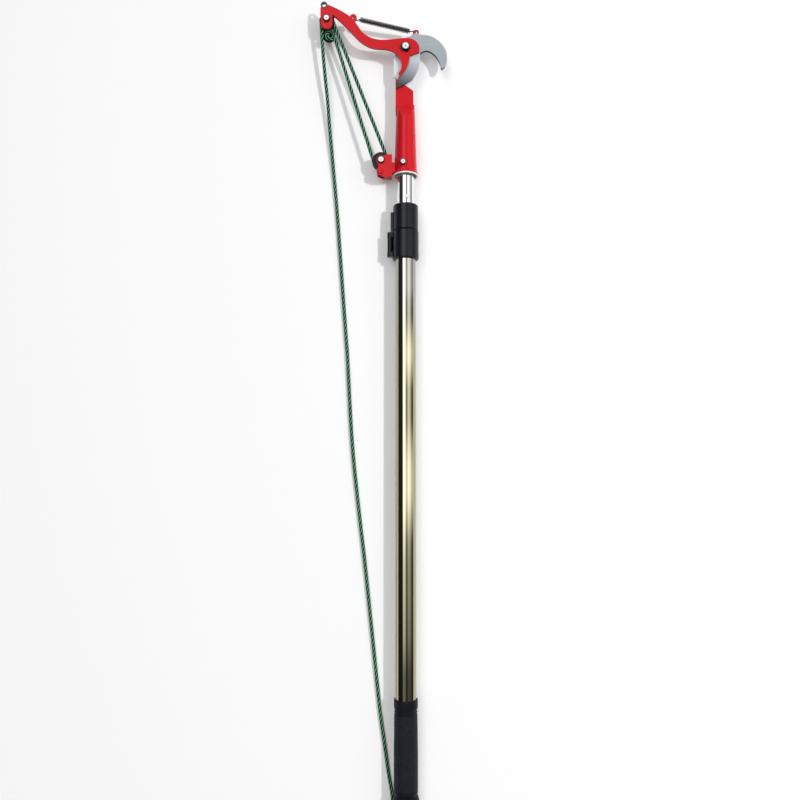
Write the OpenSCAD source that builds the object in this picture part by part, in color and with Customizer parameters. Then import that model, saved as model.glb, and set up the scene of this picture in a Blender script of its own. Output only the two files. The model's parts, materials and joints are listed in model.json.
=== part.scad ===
// Telescopic tree pruner pole with a rope-pulled bypass cutting head.
// Millimetres. The pole lies along +Y, the middle of its butt face is the origin and +Z points up.

/* [Pole] */
// Outside diameter of the outer tube
outer_d = 28; // [28:0.1:29.5]
// Wall of the outer tube
outer_wall = 1.2; // [0.8:0.1:1.3]
// Length of the outer tube
outer_len = 767; // [600:1:900]
// Outside diameter of the inner tube
inner_d = 24; // [22:0.1:24.2]
// Wall of the inner tube
inner_wall = 1; // [0.8:0.1:1.5]
// Length of the inner tube that shows between collar and ferrule when the pole is pushed in
inner_show = 41; // [30:1:60]
// Length of the guide bush on the lower end of the inner tube
bush_len = 20; // [12:1:30]
// Space between the guide bush and the end cap when the pole is pushed in
bush_clear = 10; // [5:1:20]
// Radius of the stop rivet's head
stop_r = 2.9; // [2:0.1:3.5]

/* [Grip] */
// Length of the hand grip
grip_len = 130; // [100:1:160]
// Wall of the grip at its middle
grip_wall = 1.9; // [1.7:0.1:2.6]
// Thickness of the butt end cap's flange
cap_t = 8; // [5:0.5:12]
// Depth of the end cap's plug inside the outer tube
plug_len = 22; // [15:1:30]

/* [Collar] */
// Diameter of the lower collar and of the end cap, on which the tool lies
collar_d = 35.8; // [35.2:0.1:38]
// Length of the lower collar
collar_len = 40; // [36:1:50]
// Diameter of the upper collar ring
ring_d = 34.4; // [33:0.1:35]
// Length of the upper collar ring
ring_len = 36; // [30:1:45]
// Depth of the outer tube's seat in the upper ring
ring_seat = 11; // [8:1:15]
// Radius of the lock lever's pin
lock_pin_r = 1.5; // [1.2:0.1:1.8]
// Radius of the collar's knuckles round that pin
knuckle_r = 3.8; // [3.4:0.1:4.2]
// Thickness of the lock lever's blade
lock_t = 2.3; // [1.8:0.1:2.6]

/* [Ferrule] */
// Diameter of the ferrule's mouth rim
mouth_d = 34.4; // [33:0.1:35]
// Diameter of the ferrule just above its rim
cone_low_d = 31.4; // [31:0.1:32]
// Diameter of the ferrule at its shoulder
cone_top_d = 25.8; // [25.5:0.1:26.5]
// Length of the ferrule from its mouth to its shoulder
cone_len = 91; // [88:1:100]
// Length of inner tube inside the ferrule
tube_in = 72; // [58:1:74]
// Width of the ferrule's flattened end
flat_w = 24.6; // [23.5:0.1:25.5]
// Wall of the flattened end
flat_wall = 1.3; // [1:0.1:1.4]
// Length from the mouth to the middle of the slanted top edge
flat_len = 130; // [126:1:136]
// Slope of the slanted top edge
flat_slope = 36.5; // [30:0.5:40]
// Radius of the ferrule bolt's shank
ferrule_bolt_r = 2.5; // [2:0.1:3]

/* [Cutting head] */
// Length from the ferrule's mouth to the pivot
pivot_up = 180; // [178:1:186]
// Thickness of the hook blade's tang
tang_t = 3.5; // [3:0.1:4]
// Thickness of the hook blade
hook_t = 5; // [4.5:0.1:6]
// Reach of the hook blade beside the pivot
hook_reach = 57.6; // [56:0.1:62]
// Width of the hook blade's shank
shank_w = 27.2; // [26.5:0.1:28]
// Thickness of the cutting blade
blade_t = 3; // [2:0.1:4]
// Reach of the cutting blade from the pivot to its tip
blade_reach = 57.8; // [55:0.1:60]
// Thickness of the lever arm
lever_t = 4; // [3:0.1:5]
// Reach of the lever arm from the pivot to its far side
lever_reach = 118.4; // [115:0.1:122]
// Radius of the pivot bolt's shank
pivot_r = 4; // [3.5:0.1:4.5]
// Width across flats of the pivot bolt's head
pivot_flats = 10.8; // [10:0.1:13]
// Height of the pivot bolt's head
pivot_head_h = 3.4; // [3:0.1:5]
// Diameter of the pivot washer
washer_d = 13.8; // [13.5:0.1:16]
// Thickness of the pivot washer
washer_t = 1.2; // [0.8:0.1:2]
// Thickness of the spring anchor tab
anchor_t = 1.5; // [1:0.1:2]
// Radius of the hanging eye's hole
eye_r = 2.8; // [2.5:0.1:3.2]
// Wall of the hanging eye
eye_wall = 2; // [1.5:0.1:2.2]

/* [Return spring] */
// Diameter of the spring wire
wire_d = 1.6; // [1.2:0.05:1.7]
// Outside diameter of the spring
spring_d = 7.4; // [6.8:0.1:7.8]
// Number of curls
spring_curls = 32; // [26:1:34]
// Radius of the eyes that hold the spring's ends
spring_eye_r = 1.7; // [1.4:0.1:2]

/* [Rope tackle] */
// Diameter of the rope
rope_d = 5; // [4:0.1:5.4]
// Radius of the upper pulley at the middle of the rope
sheave_r = 8; // [7.6:0.1:8.4]
// Radius of the lower pulley at the middle of the rope
lower_sheave_r = 9.8; // [9:0.1:10]
// Width of the pulleys
sheave_w = 7.6; // [7:0.1:8]
// Radius of the pulleys' axle bolts
axle_r = 3; // [2.5:0.1:3]
// Width across flats of the axle bolts' heads
axle_flats = 9; // [8:0.1:10]
// Height of the axle bolts' heads
axle_head_h = 3; // [2.5:0.1:4]
// Height of the nuts on the axle and pivot bolts
nut_h = 5; // [4:0.1:5.5]
// Sheet thickness of the pulley bracket
bracket_t = 2; // [1.5:0.1:2.5]
// Sheet thickness of the pulley cheek
cheek_t = 2.5; // [2:0.1:3]
// Radius of the rope guard rivet's head
guard_r = 4.4; // [3.5:0.1:4.6]

/* [Spare rope] */
// Number of loops in the hank
hank_loops = 4; // [2:2:6]
// Radius of the hank's inner fold
hank_in = 15; // [15:0.5:17]
// Space between neighbouring loops at the hank's waist
hank_gap = 0.6; // [0.5:0.1:1.5]
// Length of the hank's straight runs
hank_run = 75; // [60:1:90]
// Thickness of the strap that ties the hank
tie_t = 1; // [0.8:0.1:1.5]
// Width of the strap that ties the hank
tie_w = 8; // [5:1:12]

/* [Fits] */
// Radial clearance of a turning fit
run_gap = 0.05; // [0.02:0.01:0.1]
// Clearance between fixed pieces that fit in each other
fit_gap = 0.05; // [0.03:0.01:0.1]
// Clearance between pieces that slide or turn past each other
slide_gap = 0.3; // [0.3:0.05:0.5]
// Clearance beside a pulley
side_gap = 0.5; // [0.3:0.1:0.6]
// Clearance between the cutting blade and the hook behind it
shear_gap = 0.15; // [0.1:0.05:0.3]

/* [Hidden] */
$fn = 48;
steel = [0.72, 0.74, 0.76];
dark_steel = [0.2, 0.21, 0.22];
chrome = [0.85, 0.86, 0.88];
gold = [0.55, 0.5, 0.33];
red = [0.78, 0.1, 0.13];
black = [0.09, 0.1, 0.11];
green = [0.08, 0.33, 0.2];

outer_r = outer_d / 2;
outer_bore_r = outer_r - outer_wall;
inner_r = inner_d / 2;
inner_bore_r = inner_r - inner_wall;
collar_r = collar_d / 2;
ring_r = ring_d / 2;
floor_z = -collar_r;

// Stations along the pole
outer_top = cap_t + outer_len;
collar_top = outer_top - ring_seat;
collar_low = collar_top - collar_len;
ring_top = collar_top + ring_len;
mouth_y = ring_top + inner_show;
inner_low = cap_t + plug_len + bush_clear + bush_len;
inner_top = mouth_y + tube_in;
shoulder_y = mouth_y + cone_len;
flat_y = mouth_y + flat_len;
pivot = [0, mouth_y + pivot_up];
stop_at = [1.5, ring_top + 9];

// Hinge of the lock lever, on the collar's left side
lock_x = -(collar_r + knuckle_r - 0.2);
knuckle_h = 6.3;
lock_low = collar_low + 4;
lock_high = collar_top - 2;
barrel_low = lock_low + knuckle_h + slide_gap;
barrel_high = lock_high - knuckle_h - slide_gap;
barrel_r = knuckle_r - 0.4;

// Ferrule: a rim, a cone and a flattened end that holds the tang
rim_len = 3;
rim_slope = 4;
cone_end = shoulder_y + 10;
cone_fall = (cone_low_d - cone_top_d) / 2 / (cone_len - rim_len - rim_slope);
ferrule_bolt_at = [-3.5, mouth_y + 15];
flat_x = -1.5;
pocket_w = flat_w - 2 * flat_wall;
pocket_low = shoulder_y - 5;
pocket_t = tang_t + 4 * fit_gap;

// Layers of the cutting head, from the back to the front
hook_back = -tang_t / 2;
hook_front = hook_back + hook_t;
anchor_back = hook_back - anchor_t;
flat_front = pocket_t / 2 + flat_wall;
blade_back = max(hook_front, flat_front) + shear_gap;
lever_back = blade_back + blade_t;
lever_front = lever_back + lever_t;
rope_z = lever_back - side_gap - sheave_w / 2;
sheave_back = rope_z - sheave_w / 2;
becket_z = sheave_back - slide_gap - rope_d / 2;
cheek_front = becket_z - rope_d / 2 - slide_gap;
cheek_back = cheek_front - cheek_t;
bracket_front = rope_z + sheave_w / 2 + side_gap + bracket_t;
bracket_back = sheave_back - side_gap - bracket_t;
flange_out = rope_d / 2 - 0.1;

// Outlines of the head, drawn round the pivot at these sizes and scaled to their reach
lever_scale = lever_reach / 118.4;
hook_scale = hook_reach / 57.6;
blade_scale = blade_reach / 57.8;
lever_upper_edge = [
    [-108, 61.5], [-96, 56], [-85, 49.7], [-76, 43.3], [-68, 33.4], [-61, 23], [-52, 15.7],
    [-42, 11.8], [-31, 10.7], [-17, 11.6], [-2, 13.3], [8, 12.3], [15, 8], [18.9, 1], [18.6, -6.7]
];
prong_edge = [[5.8, -11.6], [3.8, -22.7], [-1.9, -32.8], [-9, -41.6]];
lever_lower_edge = [
    [-9.6, -37], [-6.5, -31.5], [-5.2, -26], [-7, -18], [-12, -10], [-19.5, -4.7], [-28.5, -2.6],
    [-37, -2.2], [-47, -0.6], [-56, 3.6], [-64.4, 9.9], [-73.4, 19.2], [-82.4, 29],
    [-91.5, 38.2], [-101.6, 47.3]
];
lug_centre = [-109.6, 35];
lug_r = 7.9;
lug_left_edge = [[-118.4, 46], [-118.4, 57.5]];
eye_at = [-113.4, 61.1];
lever_axle_at = [-109.8, 41.2];
spring_lug_at = [-72.7, 43];
spring_lug_r = 4.9;
blade_edge = [[19.7, -4.9], [20.3, -15], [17.6, -27.5], [10.9, -41.3], [0, -50], [-12.3, -56.4]];
blade_heel = [[-13.1, -55], [-10.6, -42.2]];
blade_back_edge = [[-8.6, -39.7], [-3, -31.5], [-1.4, -25], [-2.5, -17], [-7, -8]];
blade_hub_r = 12;
blade_rivet_at = [[8, -5.5], [0, -21]];
blade_rivet_r = 2;
blade_rivet_top = lever_front - 2;
hook_inner_edge = [
    [13.5, -12], [21, -4.1], [27.6, -0.9], [34.5, -2.3], [41, -7.3],
    [45.6, -14], [48.4, -20.8], [49.3, -25.2], [51.5, -27.4]
];
hook_outer_edge = [
    [54.8, -23.2], [57.6, -14.5], [57, -3.5], [52.6, 5.8], [45.1, 14.2], [36.3, 19.6],
    [27.6, 21.8], [20.1, 22.1]
];
hook_corner = [[15.2, 24.7], [12, 23.4]];
hook_left_edge = [[4.6, 18.5], [-8, 7], [-13.4, -4]];
shank_left = flat_x - shank_w / 2 - 1.3;
shank_right = shank_left + shank_w;
shank_corner = 4;
anchor_eye_at = [14.8, 28];
anchor_eye_r = 4.4;
anchor_hub_r = 8;

// Axles of the two pulleys
upper_axle = pivot + lever_axle_at * lever_scale;
lower_axle = [-33.8, mouth_y + 20.5];
guard_at = lower_axle + [-0.7, -15.9];

// The rope leaves a knot below the upper pulley, goes down and round the lower pulley,
// up to the upper pulley's right side, over it and down on its left side.
knot_at = upper_axle + [4.2, -18.8];
knot_r = 5.6;
knot_rope_r = rope_d / 2 + 0.1;
knot_z = becket_z + rope_d / 2 + knot_rope_r + fit_gap;
becket_r = axle_r + rope_d / 2 + slide_gap;
knot_exit = -40;
run_1_top = knot_at + polar(knot_r + knot_rope_r + rope_d / 4, knot_exit);
run_1_way = run_1_top - lower_axle;
run_1_angle = angle_of(run_1_way) + acos(lower_sheave_r / norm(run_1_way));
axle_way = upper_axle - lower_axle;
run_2_angle = angle_of(axle_way) - acos((lower_sheave_r - sheave_r) / norm(axle_way));
run_1_low = lower_axle + polar(lower_sheave_r, run_1_angle);
run_2_low = lower_axle + polar(lower_sheave_r, run_2_angle);
run_2_top = upper_axle + polar(sheave_r, run_2_angle);

// The hank lies below the butt in two layers, drawn in at its waist by a strap
hank_pinch = 0.2;
hank_waist = 18;
hank_turn_in = 0.35;
hank_evenness = 15.8;
hank_from = 146;
hank_first_angle = hank_turn(hank_from);
hank_rings = 24;
hank_sides = 6;
hank_step = (rope_d + hank_gap) / (1 - hank_pinch);
hank_out = hank_in + hank_step * hank_loops / 2;
hank_z = floor_z + tie_t + slide_gap + rope_d / 2;
hank_lift = rope_d + 0.7;
hank_below = 8;
hank_left = -15.75;
hank_at = [hank_left - hank_out * cos(hank_first_angle), -hank_below - rope_d / 2 - hank_out - hank_run / 2];
hank_path = [for (i = [0:hank_loops * hank_rings]) hank_point(i / hank_rings)];
hank_last = len(hank_path) - 1;
hank_start = hank_path[0] + [0, 2 * rope_d, 0];
hank_end = hank_path[hank_last] + rope_d * unit(hank_path[hank_last] - hank_path[hank_last - 1]);

// The fall of the rope comes down from the upper pulley to the floor and lies beside the pole.
// The route is drawn for a pulley 1062.2 from the butt and follows the pulley.
fall_scale = upper_axle.y / 1062.2;
lying_z = floor_z + rope_d / 2;
fall_start = [upper_axle.x - sheave_r, upper_axle.y, rope_z];
fall_upper_points = [
    [-116.9, 1040, 1], [-113.9, 1000, -2.5], [-109.5, 955, -7], [-106, 910, -11.5], [-101.5, 860, -14.6],
    [-95.5, 795, lying_z], [-88, 695, lying_z]
];
fall_middle = [-81, 605 * fall_scale, lying_z];
fall_lower_points = [
    [-73.5, 480, lying_z], [-65, 395, lying_z], [-55.5, 315, lying_z], [-47, 236, lying_z],
    [-39.5, 165, lying_z], [-34, 115, lying_z], [-28, 72, lying_z], [-22.5, 34, lying_z], [-18.2, 10, lying_z]
];
fall_lead = 2 * rope_d * unit([8, -100, 0]);
fall_rings = 5;
fall_sides = 8;

// The return spring is hooked through the lever's lug and through the anchor tab
spring_lug = pivot + spring_lug_at * lever_scale;
spring_anchor_eye = pivot + anchor_eye_at * hook_scale;
spring_low = concat(spring_lug, [(lever_back + lever_front) / 2]);
spring_high = concat(spring_anchor_eye, [(anchor_back + hook_back) / 2]);
spring_axis = unit(spring_high - spring_low);
spring_side = unit(cross([0, 0, 1], spring_axis));
spring_up = cross(spring_axis, spring_side);
spring_pull = spring_eye_r - wire_d / 2 - 2 * fit_gap;
spring_from = spring_low + spring_pull * spring_axis;
spring_to = spring_high - spring_pull * spring_axis;
spring_lead = 7.5;
spring_coil_len = norm(spring_to - spring_from) - 2 * spring_lead;
spring_coil_r = (spring_d - wire_d) / 2;
spring_rings = 8;
spring_sides = 6;
spring_past = 1.2;
spring_path = concat(
    [
        [spring_from.x, spring_from.y, lever_front + spring_past],
        [spring_from.x, spring_from.y, lever_back - spring_past],
        [spring_from.x, spring_from.y, lever_back - spring_past] + spring_axis * (spring_lug_r + wire_d / 2)
    ],
    [for (i = [0:spring_curls * spring_rings]) spring_point(i / spring_rings)],
    [
        [spring_to.x, spring_to.y, hook_back + spring_past] - spring_axis * (anchor_eye_r + wire_d / 2),
        [spring_to.x, spring_to.y, hook_back + spring_past],
        [spring_to.x, spring_to.y, anchor_back - spring_past]
    ]
);

// Points and curves
function polar(r, a) = [r * cos(a), r * sin(a)];
function angle_of(v) = atan2(v.y, v.x);
function unit(v) = v / norm(v);
function ease(x) = let (t = max(0, min(1, x))) t * t * (3 - 2 * t);
function arc(centre, r, a0, a1, n) = [for (i = [0:n]) centre + polar(r, a0 + (a1 - a0) * i / n)];
function curve_at(a, b, c, d, t) =
    0.5 * (2 * b + (c - a) * t + (2 * a - 5 * b + 4 * c - d) * t * t + (3 * b - a - 3 * c + d) * t * t * t);
function curve(p, n) = let (last = len(p) - 1) concat(
    [
        for (i = [0:last - 1])
            for (k = [0:n - 1])
                curve_at(p[max(i - 1, 0)], p[i], p[i + 1], p[min(i + 2, last)], k / n)
    ],
    [p[last]]
);
function cone_r(y) = cone_low_d / 2 - cone_fall * (y - mouth_y - rim_len - rim_slope);
function slant_y(x) = flat_y - tan(flat_slope) * (x - flat_x);

// One point of the hank, s loops from its start: it winds in on the lower layer and out on the upper one
function hank_radius(s) = hank_in + hank_step * abs(hank_loops / 2 - s);
function hank_turn(a) = a - hank_evenness * sin(2 * a);
function hank_layer(s) = hank_z + hank_lift * ease((s - hank_loops / 2 + 0.15) / 0.4);
function hank_point(s) =
    let (a = hank_turn(hank_from + 360 * s))
    let (r = hank_radius(s))
    let (straight = max(-1, min(1, sin(a) / hank_turn_in)))
    let (y = r * sin(a) + hank_run / 2 * straight)
    let (drawn_in = 1 - hank_pinch * exp(-pow(y / hank_waist, 2)))
    [hank_at.x + r * cos(a) * drawn_in, hank_at.y + y, hank_layer(s)];

// One point of the spring, s curls from its start: its first and last curl wind out of its axis
function spring_point(s) =
    let (r = spring_coil_r * ease(s) * ease(spring_curls - s))
    spring_from
    + spring_axis * (spring_lead + spring_coil_len * s / spring_curls)
    + r * (cos(360 * s) * spring_side + sin(360 * s) * spring_up);

// Frames along a route, and the least gap between stretches of it that are some rings apart
function tangent(p, i) = unit(p[min(i + 1, len(p) - 1)] - p[max(i - 1, 0)]);
function carried(n, t) = unit(n - (n * t) * t);
function normals(p, first) = [
    for (
        i = 0, n = carried(first, tangent(p, 0));
        i < len(p);
        i = i + 1, n = carried(n, tangent(p, min(i, len(p) - 1)))
    ) n
];
function least_gap(p, d, apart) = min([
    for (i = [0:len(p) - 1 - apart]) min([for (j = [i + apart:len(p) - 1]) norm(p[i] - p[j])])
]) - d;

module tube(p, d, sides, first) {
    n = normals(p, first);
    rings = len(p);
    points = [
        for (i = [0:rings - 1])
            for (k = [0:sides - 1])
                let (a = 360 * k / sides)
                p[i] + d / 2 * (cos(a) * n[i] + sin(a) * cross(tangent(p, i), n[i]))
    ];
    walls = [
        for (i = [0:rings - 2])
            for (k = [0:sides - 1])
                let (a = i * sides + k)
                let (b = i * sides + (k + 1) % sides)
                each [[a, a + sides, b], [b, a + sides, b + sides]]
    ];
    last = (rings - 1) * sides;
    low_end = [for (k = [1:sides - 2]) [0, k, k + 1]];
    high_end = [for (k = [1:sides - 2]) [last, last + k + 1, last + k]];
    polyhedron(points, concat(walls, low_end, high_end), convexity = 10);
}

// Shapes that repeat
module turned(profile) rotate([-90, 0, 0]) rotate_extrude() polygon(profile);

module along_y(y, h, r) translate([0, y, 0]) rotate([-90, 0, 0]) cylinder(h = h, r = r);

module pipe(low, top, r, bore) {
    difference() {
        along_y(low, top - low, r);
        along_y(low - 1, top - low + 2, bore);
    }
}

module plate(z, t) translate([0, 0, z]) linear_extrude(t) children();

module post(at, z0, z1, r) translate([at.x, at.y, z0]) cylinder(h = z1 - z0, r = r);

module hex_head(flats, h) {
    top_r = flats * 0.46;
    wide = flats;
    intersection() {
        cylinder(h = h, d = flats / cos(30), $fn = 6);
        rotate_extrude()
            polygon([[0, -1], [wide, -1], [wide, h - (wide - top_r) * tan(30)], [top_r, h], [0, h]]);
    }
}

module bolt(at, seat, end, r, flats, head_h) {
    translate([at.x, at.y, seat]) hex_head(flats, head_h);
    post(at, end, seat + head_h / 2, r);
}

module nut(at, seat, r, flats) {
    difference() {
        translate([at.x, at.y, seat]) mirror([0, 0, 1]) hex_head(flats, nut_h);
        post(at, seat - nut_h - 1, seat + 1, r + fit_gap);
    }
}

module pulley(at, r) {
    groove_r = rope_d / 2 + slide_gap;
    bore = axle_r + run_gap;
    translate([at.x, at.y, rope_z])
        rotate_extrude()
            difference() {
                translate([bore, -sheave_w / 2]) square([r + flange_out - bore, sheave_w]);
                translate([r, 0]) circle(groove_r);
                translate([r, -groove_r]) square([2 * groove_r, 2 * groove_r]);
            }
}

module rope_turn(at, r, from, to) {
    translate([at.x, at.y, rope_z])
        rotate([0, 0, from])
            rotate_extrude(angle = to - from)
                translate([r, 0]) circle(d = rope_d);
}

module rope_run(from, to) {
    way = to - from;
    translate([from.x, from.y, rope_z])
        rotate([0, 90, angle_of(way)])
            translate([0, 0, fit_gap]) cylinder(h = norm(way) - 2 * fit_gap, d = rope_d);
}

// Pole
module end_cap() {
    edge = 1.5;
    plug_r = outer_bore_r - fit_gap;
    color(black)
        turned([
            [0, 0], [collar_r - edge, 0], [collar_r, edge], [collar_r, cap_t], [plug_r, cap_t],
            [plug_r, cap_t + plug_len], [0, cap_t + plug_len]
        ]);
}

module grip() {
    bore = outer_r + fit_gap;
    low = cap_t;
    top = cap_t + grip_len;
    r = outer_r + grip_wall;
    taper = 0.6;
    cut = 0.8;
    flare = 1.5;
    ridge = low + 10;
    band = top - 12;
    color(black)
        turned([
            [bore, low], [r + flare, low], [r + flare, low + 2], [r, ridge - 3], [r - cut, ridge - 2],
            [r - cut, ridge], [r, ridge + 1], [r, low + grip_len * 0.5], [r - taper, band - 4],
            [r - taper - cut, band - 3], [r - taper - cut, band - 0.5], [r - 0.2, band],
            [r - 0.2, top - 1], [r - 1, top], [bore, top]
        ]);
}

module outer_tube() color(gold) pipe(cap_t, outer_top, outer_r, outer_bore_r);

module collar_lower() {
    edge = 1.2;
    bore = outer_r + fit_gap;
    top = collar_top - slide_gap;
    color(black)
        difference() {
            union() {
                turned([
                    [bore, collar_low], [collar_r - edge, collar_low], [collar_r, collar_low + edge],
                    [collar_r, top - edge], [collar_r - edge, top], [bore, top]
                ]);
                for (y = [lock_low, lock_high - knuckle_h]) {
                    translate([lock_x, 0, 0]) along_y(y, knuckle_h, knuckle_r);
                    translate([lock_x, y, -knuckle_r])
                        cube([-lock_x - outer_r - 1, knuckle_h, 2 * knuckle_r]);
                }
            }
            translate([lock_x, 0, 0]) along_y(lock_low - 1, lock_high - lock_low + 2, lock_pin_r + fit_gap);
            translate([lock_x, 0, 0])
                along_y(lock_low + knuckle_h, lock_high - lock_low - 2 * knuckle_h, barrel_r + slide_gap);
        }
}

module collar_upper() {
    edge = 1.5;
    guide = inner_r + slide_gap;
    seat = outer_r + fit_gap;
    seat_top = outer_top + fit_gap;
    rib_h = 26;
    rib_w = 6;
    rib_out = 3.4;
    rib_in = ring_r - 2;
    color(black) {
        turned([
            [seat, collar_top], [ring_r - edge / 2, collar_top], [ring_r, collar_top + edge],
            [ring_r, ring_top - edge], [ring_r - edge, ring_top],
            [guide, ring_top], [guide, seat_top], [seat, seat_top]
        ]);
        translate([-ring_r - rib_out, collar_top, -rib_w / 2])
            cube([ring_r + rib_out - rib_in, rib_h, rib_w]);
    }
}

module lock_lever() {
    first = 4;
    sweep = 46;
    h = barrel_high - barrel_low;
    color(black)
        difference() {
            union() {
                translate([lock_x, 0, 0]) along_y(barrel_low, h, barrel_r);
                translate([0, barrel_low, 0])
                    rotate([-90, 0, 0])
                        rotate([0, 0, 180 - first - sweep])
                            rotate_extrude(angle = sweep)
                                translate([collar_r + slide_gap, 0]) square([lock_t, h]);
            }
            translate([lock_x, 0, 0]) along_y(barrel_low - 1, h + 2, lock_pin_r + run_gap);
        }
}

module lock_pin() {
    inset = 0.5;
    color(steel)
        translate([lock_x, 0, 0]) along_y(lock_low + inset, lock_high - lock_low - 2 * inset, lock_pin_r);
}

// Telescoping head
module inner_tube() {
    color(chrome)
        difference() {
            pipe(inner_low, inner_top, inner_r, inner_bore_r);
            post(stop_at, 0, inner_r + 1, stop_r / 2 + fit_gap);
            post(ferrule_bolt_at, 0, inner_r + 1, ferrule_bolt_r + fit_gap);
        }
}

module guide_bush() {
    spigot_r = inner_bore_r - fit_gap;
    bush_r = outer_bore_r - slide_gap;
    wall = 2;
    color(black)
        turned([
            [spigot_r - wall, inner_low - bush_len], [bush_r, inner_low - bush_len], [bush_r, inner_low],
            [spigot_r, inner_low], [spigot_r, inner_low + bush_len], [spigot_r - wall, inner_low + bush_len]
        ]);
}

module stop_rivet() {
    head_h = 1.5;
    shank_h = inner_wall + 1.5;
    head = [[0, 0], [stop_r, 0], [stop_r * 0.9, head_h * 0.5], [stop_r * 0.55, head_h * 0.9], [0, head_h]];
    seat = inner_r + fit_gap;
    color(chrome) {
        translate([stop_at.x, stop_at.y, seat]) rotate_extrude() polygon(head);
        post(stop_at, seat - shank_h, seat + head_h / 2, stop_r / 2);
    }
}

module cone_body(more) {
    turned([
        [0, mouth_y], [mouth_d / 2 + more, mouth_y], [mouth_d / 2 + more, mouth_y + rim_len],
        [cone_low_d / 2 + more, mouth_y + rim_len + rim_slope],
        [cone_r(cone_end) + more, cone_end], [0, cone_end]
    ]);
}

module ferrule() {
    seat_r = inner_r + fit_gap;
    seat_top = inner_top + fit_gap;
    seat_len = 20;
    mouth_wall = 1.8;
    wide = mouth_d;
    flat_from = shoulder_y - 8;
    flat_from_r = cone_r(flat_from);
    flat_left = flat_x - flat_w / 2;
    flat_right = flat_x + flat_w / 2;
    color(red)
        difference() {
            union() {
                intersection() {
                    cone_body(0);
                    rotate([90, 0, 90])
                        linear_extrude(2 * wide, center = true)
                            polygon([
                                [mouth_y - 1, -wide], [flat_from, -wide], [flat_from, -flat_from_r],
                                [cone_end, -flat_front], [cone_end, flat_front],
                                [flat_from, flat_from_r], [flat_from, wide], [mouth_y - 1, wide]
                            ]);
                }
                plate(-flat_front, 2 * flat_front)
                    polygon([
                        [flat_left, shoulder_y - 4], [flat_right, shoulder_y - 4],
                        [flat_right, slant_y(flat_right)], [flat_left, slant_y(flat_left)]
                    ]);
            }
            turned([
                [0, mouth_y - 1], [mouth_d / 2 - mouth_wall, mouth_y - 1],
                [mouth_d / 2 - mouth_wall, mouth_y + 1],
                [cone_low_d / 2 - mouth_wall, mouth_y + rim_len + rim_slope], [seat_r, inner_top - seat_len],
                [seat_r, seat_top], [inner_bore_r, seat_top],
                [inner_bore_r, pocket_low - 2], [0, pocket_low - 2]
            ]);
            translate([flat_x - pocket_w / 2, pocket_low, -pocket_t / 2])
                cube([pocket_w, flat_len, pocket_t]);
            post(ferrule_bolt_at, 0, mouth_d, ferrule_bolt_r + fit_gap);
        }
}

module ferrule_bolt() {
    seat = cone_r(ferrule_bolt_at.y - ferrule_bolt_r) + fit_gap;
    color(chrome)
        bolt(
            ferrule_bolt_at, seat, inner_bore_r - 3,
            ferrule_bolt_r, ferrule_bolt_r * 3.1, ferrule_bolt_r * 1.2
        );
}

module hook_blade() {
    tang_left = flat_x - pocket_w / 2 + fit_gap;
    tang_low = pocket_low + 1;
    rise = shear_gap;
    corner_x = shank_left + shank_corner;
    head = concat(
        curve(hook_inner_edge * hook_scale, 6), curve(hook_outer_edge * hook_scale, 6),
        hook_corner * hook_scale, curve(hook_left_edge * hook_scale, 5)
    );
    shank = [
        [shank_left, pivot.y - 14], [shank_left, slant_y(corner_x) + rise + shank_corner],
        [corner_x, slant_y(corner_x) + rise],
        [shank_right, slant_y(shank_right) + rise], [shank_right, pivot.y - 24]
    ];
    color(steel)
        difference() {
            union() {
                plate(hook_back, hook_t) polygon(concat([for (p = head) pivot + p], shank));
                plate(hook_back, tang_t)
                    translate([tang_left, tang_low])
                        square([pocket_w - 2 * fit_gap, slant_y(tang_left) + 6 - tang_low]);
            }
            post(pivot, hook_back - 1, hook_front + 1, pivot_r + fit_gap);
        }
}

module spring_anchor() {
    arm = spring_anchor_eye - pivot;
    side = 3.4 * unit([-arm.y, arm.x]);
    color(red)
        difference() {
            union() {
                post(pivot, anchor_back, hook_back, anchor_hub_r);
                post(spring_anchor_eye, anchor_back, hook_back, anchor_eye_r);
                plate(anchor_back, anchor_t) translate(pivot) polygon([side, arm + side, arm - side, -side]);
            }
            post(pivot, anchor_back - 1, hook_back + 1, pivot_r + fit_gap);
            post(spring_anchor_eye, anchor_back - 1, hook_back + 1, spring_eye_r);
        }
}

module pivot_bolt() {
    past = 1.5;
    color(chrome)
        bolt(pivot, lever_front + washer_t, anchor_back - nut_h - past, pivot_r, pivot_flats, pivot_head_h);
}

module pivot_washer() {
    color(dark_steel)
        difference() {
            post(pivot, lever_front, lever_front + washer_t, washer_d / 2);
            post(pivot, lever_front - 1, lever_front + washer_t + 1, pivot_r + fit_gap);
        }
}

module pivot_nut() color(steel) nut(pivot, anchor_back, pivot_r, pivot_flats);

// Lever
module lever_arm() {
    outline = concat(
        curve(lever_upper_edge, 6), curve(prong_edge, 6), curve(lever_lower_edge, 6),
        arc(lug_centre, lug_r, 0, -180, 18), lug_left_edge
    ) * lever_scale;
    color(red)
        difference() {
            union() {
                plate(lever_back, lever_t) translate(pivot) polygon(outline);
                post(spring_lug, lever_back, lever_front, spring_lug_r);
            }
            post(pivot, lever_back - 1, lever_front + 1, pivot_r + run_gap);
            post(upper_axle, lever_back - 1, lever_front + 1, axle_r + fit_gap);
            post(pivot + eye_at * lever_scale, lever_back - 1, lever_front + 1, eye_r + eye_wall + fit_gap);
            post(spring_lug, lever_back - 1, lever_front + 1, spring_eye_r);
            for (at = blade_rivet_at)
                post(pivot + at, lever_back - 1, blade_rivet_top + fit_gap, blade_rivet_r + fit_gap);
        }
}

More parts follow.
